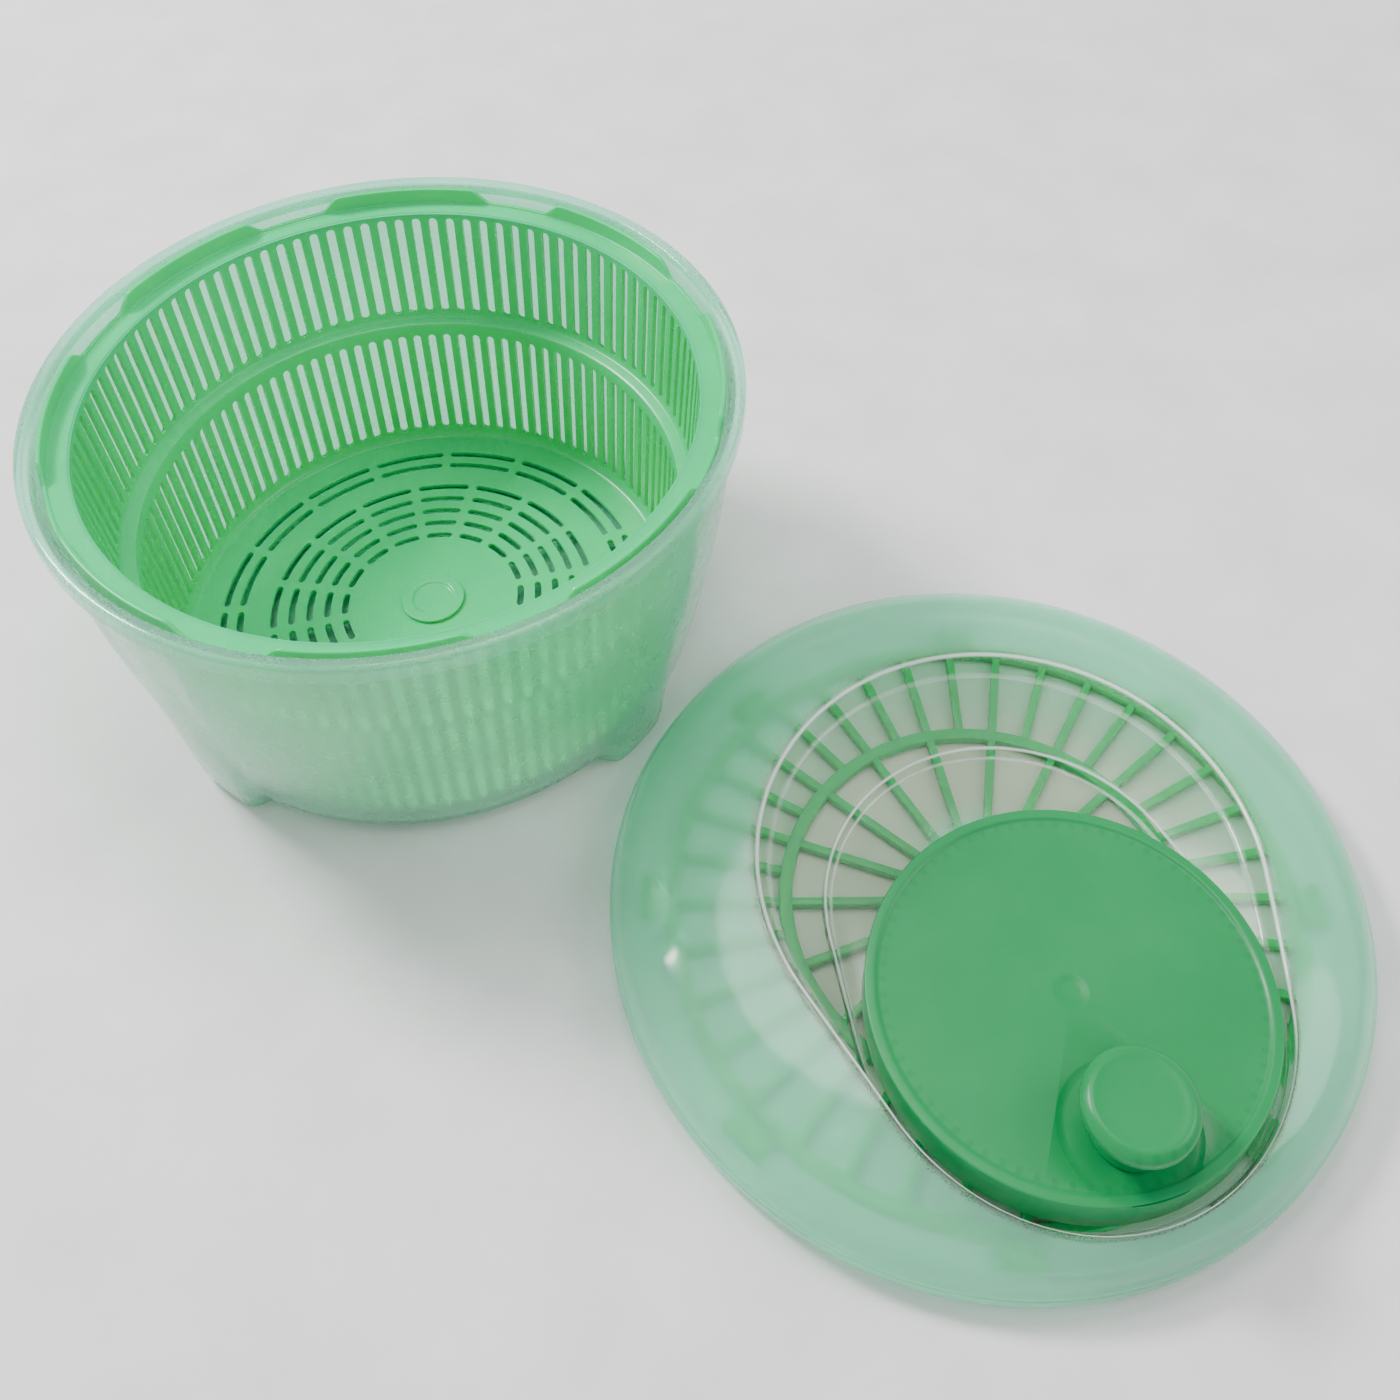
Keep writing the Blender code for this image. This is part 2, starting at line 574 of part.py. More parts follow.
def ring_gear_outline():
    pitch_radius = TOOTH_MODULE * RING_TEETH / 2
    root, tip = pitch_radius + (RING_ADDENDUM + TOOTH_DEPTH_SPARE) * TOOTH_MODULE, pitch_radius - RING_ADDENDUM * TOOTH_MODULE
    return gear_outline(RING_TEETH, (root, tip), -1, CRANK_ANGLE + pi + pi / RING_TEETH)


def pinion_outline():
    pitch_radius = TOOTH_MODULE * PINION_TEETH / 2
    tip = pitch_radius + PINION_ADDENDUM * TOOTH_MODULE
    root = pitch_radius - (RING_ADDENDUM + TOOTH_DEPTH_SPARE) * TOOTH_MODULE
    return gear_outline(PINION_TEETH, (root, pitch_radius, (pitch_radius + tip) / 2, tip), 1, CRANK_ANGLE + pi)


def make_crank(look):
    top, under = CRANK_TOP, CRANK_TOP - CRANK_PLATE
    skirt_low = FLOOR_HEIGHT + 2 * GAP
    stud_low = FLOOR_HEIGHT - LID_WALL - 1 * MM
    inner = CRANK_RADIUS - CRANK_PLATE
    pilot = SCREW_RADIUS + GAP
    profile = [(0, stud_low + 8 * MM), (pilot, stud_low + 8 * MM), (pilot, stud_low),
               (CRANK_STUD_RADIUS, stud_low), (CRANK_STUD_RADIUS, under), (inner, under), (inner, skirt_low),
               (CRANK_RADIUS, skirt_low), (CRANK_RADIUS, top), (CRANK_RADIUS - 0.6 * MM, top + CRANK_BEAD),
               (CRANK_RADIUS - CRANK_BEAD_WIDTH, top + CRANK_BEAD), (CRANK_RADIUS - CRANK_BEAD_WIDTH - 0.6 * MM, top),
               (5 * MM, top), (3 * MM, top - 0.5 * MM), (0, top - 0.5 * MM)]
    crank = finish("crank_disc", turned(profile, FACETS), look, CRANK)
    teeth = prism([ring_gear_outline(), circle(inner + 0.6 * MM, FACETS)], TOOTH_LOW, TOOTH_LOW + TOOTH_WIDTH)
    combine(crank, finish("ring_teeth", teeth, look, CRANK))
    dish = turned([(0, top - KNOB_DISH_DEPTH), (KNOB_DISH_RADIUS - 0.7 * MM, top - KNOB_DISH_DEPTH),
                   (KNOB_DISH_RADIUS + 0.3 * MM, top + 0.3 * MM), (0, top + 0.3 * MM)], 36)
    combine(crank, finish("knob_dish", dish, look, KNOB), "DIFFERENCE")
    hole = SPINDLE_RADIUS + GAP
    drill = turned([(0, under - 1 * MM), (hole, under - 1 * MM), (hole, top + 1 * MM), (0, top + 1 * MM)])
    combine(crank, finish("spindle_hole", drill, look, KNOB), "DIFFERENCE")


def make_knob(look, spindle_look):
    seat = CRANK_TOP - KNOB_DISH_DEPTH + GAP
    cap_low = KNOB_TOP - KNOB_CAP
    bore_top = KNOB_TOP - 4.4 * MM
    bore = SPINDLE_RADIUS + GAP
    profile = [(0, bore_top), (bore, bore_top), (bore, seat), (KNOB_STEM_RADIUS + 1 * MM, seat),
               (KNOB_STEM_RADIUS, seat + 3 * MM), (KNOB_STEM_RADIUS, cap_low), (KNOB_RADIUS - 1.5 * MM, cap_low + 0.6 * MM),
               (KNOB_RADIUS, cap_low + 2.4 * MM), (KNOB_RADIUS - 0.1 * MM, KNOB_TOP - 2.2 * MM),
               (KNOB_RADIUS - 1.6 * MM, KNOB_TOP - 0.4 * MM), (KNOB_RADIUS - 3.2 * MM, KNOB_TOP),
               (KNOB_RADIUS - 5.5 * MM, KNOB_TOP - 0.4 * MM), (0, KNOB_TOP - 0.5 * MM)]
    finish("knob", turned(profile, 36), look, KNOB)
    under = CRANK_TOP - CRANK_PLATE - GAP
    profile = [(0, under - 1.8 * MM), (SPINDLE_FLANGE_RADIUS, under - 1.8 * MM), (SPINDLE_FLANGE_RADIUS, under),
               (SPINDLE_RADIUS, under), (SPINDLE_RADIUS, bore_top - GAP), (0, bore_top - GAP)]
    finish("knob_spindle", turned(profile), spindle_look, KNOB)


def make_crank_fastening(washer_look, screw_look):
    high = FLOOR_HEIGHT - LID_WALL - 1 * MM - GAP
    hole = SCREW_RADIUS + GAP
    ring = [(hole, high - WASHER), (CRANK_STUD_RADIUS + 2.6 * MM, high - WASHER), (CRANK_STUD_RADIUS + 2.6 * MM, high), (hole, high)]
    finish("crank_washer", turned(ring), washer_look, CRANK)
    make_screw("crank_screw", high - WASHER - GAP, high + 7 * MM, screw_look, CRANK)


def make_screw(name, seat, tip, look, place):
    profile = [(0, seat - SCREW_HEAD), (SCREW_HEAD_RADIUS - 0.5 * MM, seat - SCREW_HEAD),
               (SCREW_HEAD_RADIUS, seat - SCREW_HEAD + 0.6 * MM), (SCREW_HEAD_RADIUS, seat), (SCREW_RADIUS, seat),
               (SCREW_RADIUS, tip - 1 * MM), (0.5 * SCREW_RADIUS, tip), (0, tip)]
    finish(name, turned(profile, 16), look, place)


# Drive -----------------------------------------------------------------------------------------

def make_drive(plate_look, pinion_look, bush_look, washer_look, screw_look):
    floor, under = FLOOR_HEIGHT, FLOOR_HEIGHT - LID_WALL
    bore, bush = SHAFT_RADIUS + GAP, SHAFT_RADIUS + BUSH_WALL + GAP
    low, high = -PLATE_DROP, -PLATE_DROP + PLATE_THICKNESS
    bush_low = under - 0.6 * MM
    ring = [(bore, bush_low), (bush, bush_low), (bush, floor + GAP), (bush + 2 * MM, floor + GAP),
            (bush + 2 * MM, floor + GAP + BUSH_FLANGE), (bore, floor + GAP + BUSH_FLANGE)]
    finish("drive_bush", turned(ring), bush_look, LID)

    boss_high = bush_low - GAP
    recess = SCREW_HEAD + WASHER + 3 * GAP       # counterbore for the screw's head and washer
    web_low = low + recess
    web_high = web_low + 2 * MM
    shaft_low = web_high + GAP
    pilot = SCREW_RADIUS + GAP
    gear = prism([pinion_outline()], TOOTH_LOW + GAP, TOOTH_LOW + TOOTH_WIDTH)
    pinion = finish("drive_pinion", gear, pinion_look, LID)
    shaft = turned([(0, boss_high), (SHAFT_RADIUS, boss_high),
                    (SHAFT_RADIUS, TOOTH_LOW + 2 * MM), (0, TOOTH_LOW + 2 * MM)])
    combine(pinion, finish("shaft", shaft, pinion_look, LID))
    key = prism([circle(KEY_RADIUS, 6, KEY_PHASE)], shaft_low, boss_high + 0.5 * MM)
    combine(pinion, finish("key", key, pinion_look, LID))
    drill = turned([(0, shaft_low - 1 * MM), (pilot, shaft_low - 1 * MM), (pilot, shaft_low + 8 * MM), (0, shaft_low + 8 * MM)])
    combine(pinion, finish("pilot", drill, pinion_look, LID), "DIFFERENCE")

    plate = make_plate(plate_look, low, high)
    boss = turned([(0, low + 1 * MM), (BOSS_RADIUS + 1 * MM, low + 1 * MM), (BOSS_RADIUS, boss_high), (0, boss_high)])
    combine(plate, finish("boss", boss, plate_look, LID))
    keyway = prism([circle(KEY_RADIUS + 1.5 * GAP, 6, KEY_PHASE)], web_high, boss_high + 1 * MM)
    combine(plate, finish("keyway", keyway, plate_look, LID), "DIFFERENCE")
    socket = turned([(0, low - 1 * MM), (SCREW_HEAD_RADIUS + 2 * GAP, low - 1 * MM), (SCREW_HEAD_RADIUS + 2 * GAP, web_low),
                     (pilot, web_low), (pilot, web_high + 1 * MM), (0, web_high + 1 * MM)])
    combine(plate, finish("socket", socket, plate_look, LID), "DIFFERENCE")
    high_face = web_low - GAP
    ring = [(pilot, high_face - WASHER), (SCREW_HEAD_RADIUS, high_face - WASHER), (SCREW_HEAD_RADIUS, high_face), (pilot, high_face)]
    finish("drive_washer", turned(ring), washer_look, LID)
    make_screw("drive_screw", high_face - WASHER - GAP, shaft_low + 6.5 * MM, screw_look, LID)


def plate_angles(radius):
    """Both sides of every spoke; those that stop at the middle ring only narrow toward the hub."""
    half = asin(SPOKE_WIDTH / 2 / radius)
    pitch = 2 * pi / OUTER_SPOKES
    halves = (half, min(half, 0.3 * (pitch - half)))
    return [SPOKE_PHASE + k * pitch + side * halves[k % 2] for k in range(OUTER_SPOKES) for side in (-1, 1)]


def plate_window(row, column):
    """Open cells of the plate: every other spoke stops at the middle ring."""
    if row == 2:
        return column % 2 == 1
    return row == 0 and column % 4 != 0


def make_plate(look, low, high):
    radii = (HUB_RADIUS, MID_RING_RADIUS - MID_RING_WIDTH, MID_RING_RADIUS, PLATE_RADIUS - PLATE_RING_WIDTH, PLATE_RADIUS)
    shape = bmesh.new()
    faces = [[[shape.verts.new((r * cos(a), r * sin(a), z)) for a in plate_angles(r)] for r in radii] for z in (high, low)]
    walls_with_windows(shape, *faces, plate_window)
    for rows, z in zip(faces, (high, low)):
        cap(shape, rows[0], (0, 0, z))
    top, bottom = faces[0][-1], faces[1][-1]
    for i in range(len(top)):
        j = (i + 1) % len(top)
        shape.faces.new((top[i], top[j], bottom[j], bottom[i]))
    plate = finish("drive_plate", shape, look, LID)
    for n in range(LUG_COUNT):
        lug = bmesh.new()
        bmesh.ops.create_cube(lug, size=1)
        inside = PLATE_RADIUS - PLATE_RING_WIDTH / 2
        outside = PLATE_RADIUS + LUG_REACH
        bmesh.ops.scale(lug, vec=(outside - inside, LUG_WIDTH, high - low), verts=lug.verts)
        bmesh.ops.translate(lug, vec=((outside + inside) / 2, 0, (high + low) / 2), verts=lug.verts)
        turn = Matrix.Rotation(LUG_PHASE + 2 * pi * n / LUG_COUNT, 4, "Z")
        combine(plate, finish("lug", lug, look, LID @ turn))
    return plate


def main():
    for old in list(bpy.data.objects):
        bpy.data.objects.remove(old)
    frosted = material("frosted_polypropylene", (0.78, 0.92, 0.86), 0.45, 0.45)
    clear = material("lid_polypropylene", (0.80, 0.93, 0.88), 0.3, 0.4)
    green = material("green_basket", (0.0, 0.80, 0.20), 0.3)
    crank_green = material("green_crank", (0.0, 0.72, 0.16), 0.35)
    plate_green = material("green_drive", (0.0, 0.62, 0.20), 0.4)
    acetal = material("natural_acetal", (0.86, 0.86, 0.82), 0.4)
    steel = material("zinc_plated_steel", (0.62, 0.62, 0.60), 0.35, metallic=1.0)
    make_bowl(frosted)
    make_basket(green)
    make_pivot_cup(green)
    make_lid(clear)
    make_crank(crank_green)
    make_knob(crank_green, acetal)
    make_crank_fastening(steel, steel)
    make_drive(plate_green, acetal, acetal, steel, steel)


main()
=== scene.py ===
"""Salad spinner: frosted bowl, slotted green basket, and the geared lid on the table beside it."""
from math import asin, atan2, cos, pi, radians, sin, sqrt

import bmesh
import bpy
from bpy.props import FloatProperty, FloatVectorProperty, IntProperty, PointerProperty
from mathutils import Euler, Matrix, Vector


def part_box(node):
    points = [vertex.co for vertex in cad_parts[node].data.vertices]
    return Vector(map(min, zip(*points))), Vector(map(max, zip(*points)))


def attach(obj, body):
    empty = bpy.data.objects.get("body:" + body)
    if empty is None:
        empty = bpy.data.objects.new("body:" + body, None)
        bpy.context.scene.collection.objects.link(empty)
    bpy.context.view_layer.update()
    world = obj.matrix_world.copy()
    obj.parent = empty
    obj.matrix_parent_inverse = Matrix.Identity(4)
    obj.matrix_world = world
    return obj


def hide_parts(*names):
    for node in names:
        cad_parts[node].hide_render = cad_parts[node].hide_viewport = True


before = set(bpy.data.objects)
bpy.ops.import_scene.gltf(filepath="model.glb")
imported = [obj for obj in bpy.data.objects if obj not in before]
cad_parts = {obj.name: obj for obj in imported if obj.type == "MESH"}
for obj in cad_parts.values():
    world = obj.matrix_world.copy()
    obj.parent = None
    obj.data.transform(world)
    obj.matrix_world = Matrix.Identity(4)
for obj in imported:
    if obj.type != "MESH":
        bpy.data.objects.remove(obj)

bl_info = {
    "name": "Salad spinner",
    "version": (1, 0, 0),
    "blender": (4, 5, 0),
    "location": "View3D > Sidebar > Spinner",
    "description": "Builds a salad spinner over its CAD frame",
    "category": "Object",
}

MM = 0.001
BOWL_SIDES = 384               # columns round the bowl
SMOOTH_ANGLE = radians(38)


def length(name, millimetres, description):
    return FloatProperty(name=name, description=description, default=millimetres * MM, unit="LENGTH",
                         subtype="DISTANCE", precision=4)


def angle(name, degrees, description):
    return FloatProperty(name=name, description=description, default=radians(degrees), subtype="ANGLE")


def colour(name, value, description):
    return FloatVectorProperty(name=name, description=description, default=value, size=3, subtype="COLOR",
                               min=0.0, max=1.0)


class SpinnerSizes(bpy.types.PropertyGroup):
    """Sizes that the CAD boxes don't give."""

    wall: length("Wall", 1.8, "Thickness of the bowl and basket")
    rim_skirt: length("Rim skirt", 7.0, "Height of the bowl's rolled rim")
    neck: length("Neck", 121.0, "Bowl's outer radius just under its rim")
    foot: length("Foot", 107.5, "Radius to a foot's outer corner")
    belly: length("Belly", 95.0, "Radius between the feet at the bottom")
    foot_depth: length("Foot depth", 12.0, "How far a foot's sole reaches in")
    foot_phase: angle("Foot phase", -51.5, "Direction of the first foot")
    foot_half: angle("Foot half angle", 5.5, "Half of a foot's width")
    foot_blend: angle("Foot blend", 6.0, "Angle over which a foot runs into the belly")
    mouth: length("Basket mouth", 108.6, "Basket's inner radius at its flange")
    flange_drop: length("Flange drop", 7.2, "Basket's flange below the bowl's rim")
    basket_floor: length("Basket floor", 7.2, "Height of the basket's floor")
    taper: length("Taper", 3.6, "Basket wall's lean over each row of slots")
    ledge: length("Ledge", 5.2, "Inward step between the rows of slots")
    slot_count: IntProperty(name="Slots", description="Slots in each row", default=100, min=8)
    slot_share: FloatProperty(name="Slot share", description="Open part of a slot's pitch", default=0.5)
    crown_phase: angle("Crown phase", 81.0, "Direction of the first tab")
    lid_wall: length("Lid wall", 1.6, "Thickness of the lid")
    recess: length("Recess", 84.0, "Radius of the lid's recess at its crest")
    well: length("Well", 60.0, "Radius of the deepest part of the recess")
    spoke: length("Spoke", 3.0, "Width of the drive plate's spokes")


class SpinnerColours(bpy.types.PropertyGroup):
    """Colours of the moulded plastics and the stage."""

    milk: colour("Milk", (0.44, 0.97, 0.72), "Natural polypropylene")
    clear: colour("Clear", (0.82, 0.87, 0.76), "Polished part of the lid")
    basket: colour("Basket", (0.0, 0.66, 0.21), "Basket and drive plate")
    disc: colour("Disc", (0.0, 0.27, 0.07), "Crank disc and knob")
    acetal: colour("Acetal", (0.80, 0.80, 0.76), "Pinion, bush and spindle")
    steel: colour("Steel", (0.60, 0.60, 0.58), "Screws and washers")
    floor: colour("Floor", (0.88, 0.87, 0.85), "Table")
    sky: colour("Sky", (0.95, 0.97, 1.0), "Light all round")


# Shapes ----------------------------------------------------------------------------------------

def soften(path, setbacks, steps=4):
    """Rounds the corners of a path of vectors, each by its own setback."""
    made = [path[0]]
    for before, corner, after, size in zip(path, path[1:], path[2:], setbacks):
        if not size:
            made.append(corner)
            continue
        back, on = before - corner, after - corner
        start = corner + back.normalized() * min(size, 0.45 * back.length)
        end = corner + on.normalized() * min(size, 0.45 * on.length)
        for i in range(steps + 1):
            share = i / steps
            made.append(start.lerp(corner, share).lerp(corner.lerp(end, share), share))
    made.append(path[-1])
    return made


def skin(shape, paths, closed=False):
    """Joins neighbouring paths, all round, into faces; a closed path also joins its ends."""
    grid = [[shape.verts.new(point) for point in path] for path in paths]
    for a, b in zip(grid, grid[1:] + grid[:1]):
        for k in range(len(a) - (0 if closed else 1)):
            n = (k + 1) % len(a)
            shape.faces.new((a[k], b[k], b[n], a[n]))
    return grid


def cap(shape, ring, centre):
    middle = shape.verts.new(centre)
    for a, b in zip(ring, ring[1:] + ring[:1]):
        shape.faces.new((a, b, middle))


def around(profile, columns, centre=(0.0, 0.0)):
    """Paths of a profile of (radius, height) turned about a vertical axis."""
    paths = []
    for i in range(columns):
        turn = 2 * pi * i / columns
        paths.append([Vector((centre[0] + p[0] * cos(turn), centre[1] + p[0] * sin(turn),
                              p[1])) for p in profile])
    return paths


def lathe(shape, profile, columns, centre=(0.0, 0.0), setback=0.4 * MM, steps=4):
    """Adds a turned solid: a profile that starts and ends on the axis, or else a ring's outline."""
    on_axis = profile[0][0] == 0
    points = [Vector(p) for p in profile]
    if on_axis:
        soft = soften(points, [setback] * (len(points) - 2), steps)
        inner = soft[1:-1]
        grid = skin(shape, around(inner, columns, centre))
        cap(shape, [path[0] for path in grid], (*centre, soft[0][1]))
        cap(shape, [path[-1] for path in grid], (*centre, soft[-1][1]))
    else:
        loop = soften(points[-1:] + points + points[:1], [setback] * len(points), steps)[1:-1]
        skin(shape, around(loop, columns, centre), closed=True)


def piece(name, shape, look, body, nodes=()):
    """Turns a bmesh into a smooth-shaded piece that rides on a body and stands for CAD nodes."""
    bmesh.ops.remove_doubles(shape, verts=shape.verts, dist=2e-6)
    bmesh.ops.recalc_face_normals(shape, faces=shape.faces)
    mesh = bpy.data.meshes.new(name)
    shape.to_mesh(mesh)
    shape.free()
    mesh.materials.append(look)
    mesh.shade_smooth()
    mesh.set_sharp_from_angle(angle=SMOOTH_ANGLE)
    made = bpy.data.objects.new(name, mesh)
    bpy.context.scene.collection.objects.link(made)
    if body:
        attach(made, body)
    if nodes:
        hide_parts(*nodes)
    return made


def carve(base, tool_shape):
    """Cuts a closed shape out of a piece."""
    mesh = bpy.data.meshes.new("tool")
    bmesh.ops.recalc_face_normals(tool_shape, faces=tool_shape.faces)
    tool_shape.to_mesh(mesh)
    tool_shape.free()
    tool = bpy.data.objects.new("tool", mesh)
    bpy.context.scene.collection.objects.link(tool)
    step = base.modifiers.new("cut", "BOOLEAN")
    step.operation, step.solver, step.object = "DIFFERENCE", "EXACT", tool
    bpy.context.view_layer.update()
    cut = bpy.data.meshes.new_from_object(base.evaluated_get(bpy.context.evaluated_depsgraph_get()))
    base.modifiers.remove(step)
    base.data = cut
    bpy.data.objects.remove(tool)
    cut.shade_smooth()
    cut.set_sharp_from_angle(angle=SMOOTH_ANGLE)


def middle(node):
    low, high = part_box(node)
    return (low + high) / 2


def smooth_step(value):
    value = min(1.0, max(0.0, value))
    return value * value * (3 - 2 * value)


def nearest(turn, spacing, phase):
    return abs((turn - phase + spacing / 2) % spacing - spacing / 2)


def bar(shape, start, end, width, low, high, turn, centre, round_by):
    """Adds a straight, bevelled bar that runs outward from a centre."""
    made = bmesh.ops.create_cube(shape, size=1)["verts"]
    bmesh.ops.scale(shape, vec=(end - start, width, high - low), verts=made)
    bmesh.ops.translate(shape, vec=((start + end) / 2, 0, (low + high) / 2), verts=made)
    bmesh.ops.rotate(shape, cent=(0, 0, 0), matrix=Matrix.Rotation(turn, 3, "Z"), verts=made)
    bmesh.ops.translate(shape, vec=(*centre, 0), verts=made)
    edges = list({edge for vert in made for edge in vert.link_edges})
    bmesh.ops.bevel(shape, geom=edges, offset=round_by, affect="EDGES", segments=2, profile=0.5, material=-1)


# Looks -----------------------------------------------------------------------------------------

def new_look(name):
    made = bpy.data.materials.new(name)
    made.use_nodes = True
    return made, made.node_tree, made.node_tree.nodes["Principled BSDF"]


def texture(tree, kind, place, **inputs):
    node = tree.nodes.new(kind)
    for key, value in inputs.items():
        node.inputs[key].default_value = value
    tree.links.new(place, node.inputs["Vector"])
    return node


def ramp(tree, source, low, high, start=0.3, end=0.7):
    """Spreads a value from start..end over low..high."""
    node = tree.nodes.new("ShaderNodeMapRange")
    node.inputs["From Min"].default_value, node.inputs["From Max"].default_value = start, end
    node.inputs["To Min"].default_value, node.inputs["To Max"].default_value = low, high
    tree.links.new(source, node.inputs["Value"])
    return node.outputs["Result"]


def tint(tree, source, dark, light):
    """A colour ramp between two colours."""
    node = tree.nodes.new("ShaderNodeValToRGB")
    node.color_ramp.elements[0].position, node.color_ramp.elements[1].position = 0.3, 0.7
    node.color_ramp.elements[0].color, node.color_ramp.elements[1].color = (*dark, 1), (*light, 1)
    tree.links.new(source, node.inputs["Fac"])
    return node.outputs["Color"]


def relief(tree, shader, heights):
    """Chains bump nodes: (height socket, strength, distance)."""
    normal = None
    for height, strength, distance in heights:
        bump = tree.nodes.new("ShaderNodeBump")
        bump.inputs["Strength"].default_value, bump.inputs["Distance"].default_value = strength, distance
        tree.links.new(height, bump.inputs["Height"])
        if normal:
            tree.links.new(normal, bump.inputs["Normal"])
        normal = bump.outputs["Normal"]
    tree.links.new(normal, shader.inputs["Normal"])


def moulded(name, base, roughness=0.28, subsurface=0.0, transmission=0.0, grain=0.12, coat=0.0):
    """Moulded plastic: soft flow clouds, fine texture, handling scuffs and faint hairline scratches."""
    made, tree, shader = new_look(name)
    place = tree.nodes.new("ShaderNodeTexCoord").outputs["Object"]
    clouds = texture(tree, "ShaderNodeTexNoise", place, Scale=22.0, Detail=4.0, Roughness=0.55)
    fine = texture(tree, "ShaderNodeTexNoise", place, Scale=1500.0, Detail=3.0, Roughness=0.6)
    scuffs = texture(tree, "ShaderNodeTexNoise", place, Scale=90.0, Detail=8.0, Roughness=0.75,
                     Distortion=1.2)
    stretch = tree.nodes.new("ShaderNodeMapping")
    stretch.inputs["Scale"].default_value = (900.0, 40.0, 260.0)
    stretch.inputs["Rotation"].default_value = (0.3, 0.2, 0.9)
    tree.links.new(place, stretch.inputs["Vector"])
    hairs = texture(tree, "ShaderNodeTexNoise", stretch.outputs["Vector"], Scale=1.0, Detail=2.0)
    dark = tuple(c * 0.93 for c in base)
    light = tuple(min(1.0, c * 1.04 + 0.004) for c in base)
    tree.links.new(tint(tree, clouds.outputs["Fac"], dark, light), shader.inputs["Base Color"])
    rough = tree.nodes.new("ShaderNodeMath")
    rough.operation = "ADD"
    tree.links.new(ramp(tree, scuffs.outputs["Fac"], roughness - 0.05, roughness + 0.09, 0.4, 0.75),
                   rough.inputs[0])
    tree.links.new(ramp(tree, hairs.outputs["Fac"], 0.0, 0.09, 0.62, 0.75), rough.inputs[1])
    tree.links.new(rough.outputs["Value"], shader.inputs["Roughness"])
    shader.inputs["IOR"].default_value = 1.49
    shader.inputs["Specular IOR Level"].default_value = 0.35
    shader.inputs["Subsurface Weight"].default_value = subsurface
    shader.inputs["Subsurface Scale"].default_value = 0.006
    shader.inputs["Subsurface Radius"].default_value = (0.05, 1.0, 0.25)
    shader.inputs["Transmission Weight"].default_value = transmission
    shader.inputs["Coat Weight"].default_value = coat
    shader.inputs["Coat Roughness"].default_value = 0.12
    relief(tree, shader, [(fine.outputs["Fac"], grain, 0.00006), (clouds.outputs["Fac"], 0.12, 0.0006),
                          (hairs.outputs["Fac"], 0.05, 0.00004)])
    return made


def frosted(name, base, roughness, transmission, mask=None, polished=None):
    """Milky polypropylene; where a mask attribute is 1 it is clear and polished, and where the edge attribute
    is 1 a whitish painted highlight is laid on.
    """
    made = moulded(name, base, roughness=roughness, transmission=transmission, grain=0.05)
    tree = made.node_tree
    shader = tree.nodes["Principled BSDF"]
    shader.inputs["IOR"].default_value = 1.09
    shader.inputs["Coat Weight"].default_value = 0.8
    shader.inputs["Coat Roughness"].default_value = 0.09
    if not mask:
        return made
    attribute = tree.nodes.new("ShaderNodeAttribute")
    attribute.attribute_name = mask
    place = tree.nodes.new("ShaderNodeTexCoord").outputs["Object"]
    speckle = texture(tree, "ShaderNodeTexNoise", place, Scale=2600.0, Detail=3.0, Roughness=0.7)
    mixed = tree.nodes.new("ShaderNodeMath")
    mixed.operation = "ADD"
    tree.links.new(attribute.outputs["Fac"], mixed.inputs[0])
    tree.links.new(ramp(tree, speckle.outputs["Fac"], -0.3, 0.3, 0.3, 0.7), mixed.inputs[1])
    clear = ramp(tree, mixed.outputs["Value"], 0.0, 1.0, 0.3, 0.7)
    rough = shader.inputs["Roughness"].links[0].from_socket
    for socket, frost, smooth in (("Roughness", rough, 0.03), ("Transmission Weight", transmission, 0.98)):
        node = tree.nodes.new("ShaderNodeMapRange")
        tree.links.new(clear, node.inputs["Value"])
        node.inputs["To Max"].default_value = smooth
        if isinstance(frost, float):
            node.inputs["To Min"].default_value = frost
        else:
            tree.links.new(frost, node.inputs["To Min"])
        tree.links.new(node.outputs["Result"], shader.inputs[socket])
    overlay(tree, shader, clear, polished)
    # Painted highlight: where the edge attribute is 1, a near-white colour is mixed over the base and
    # transmission drops to 0.3, so bright lines are painted on the crest and step corners in place of
    # reflections.
    edge = tree.nodes.new("ShaderNodeAttribute")
    edge.attribute_name = "edge"
    overlay(tree, shader, edge.outputs["Fac"], (0.96, 0.98, 0.97))
    keep = tree.nodes.new("ShaderNodeMapRange")
    tree.links.new(edge.outputs["Fac"], keep.inputs["Value"])
    keep.inputs["To Max"].default_value = 0.3
    tree.links.new(shader.inputs["Transmission Weight"].links[0].from_socket, keep.inputs["To Min"])
    tree.links.new(keep.outputs["Result"], shader.inputs["Transmission Weight"])
    return made


def overlay(tree, shader, amount, paint):
    """Mixes a plain colour over the shader's base colour."""
    shade = tree.nodes.new("ShaderNodeMix")
    shade.data_type = "RGBA"
    shade.inputs[7].default_value = (*paint, 1)
    tree.links.new(amount, shade.inputs[0])
    tree.links.new(shader.inputs["Base Color"].links[0].from_socket, shade.inputs[6])
    tree.links.new(shade.outputs[2], shader.inputs["Base Color"])


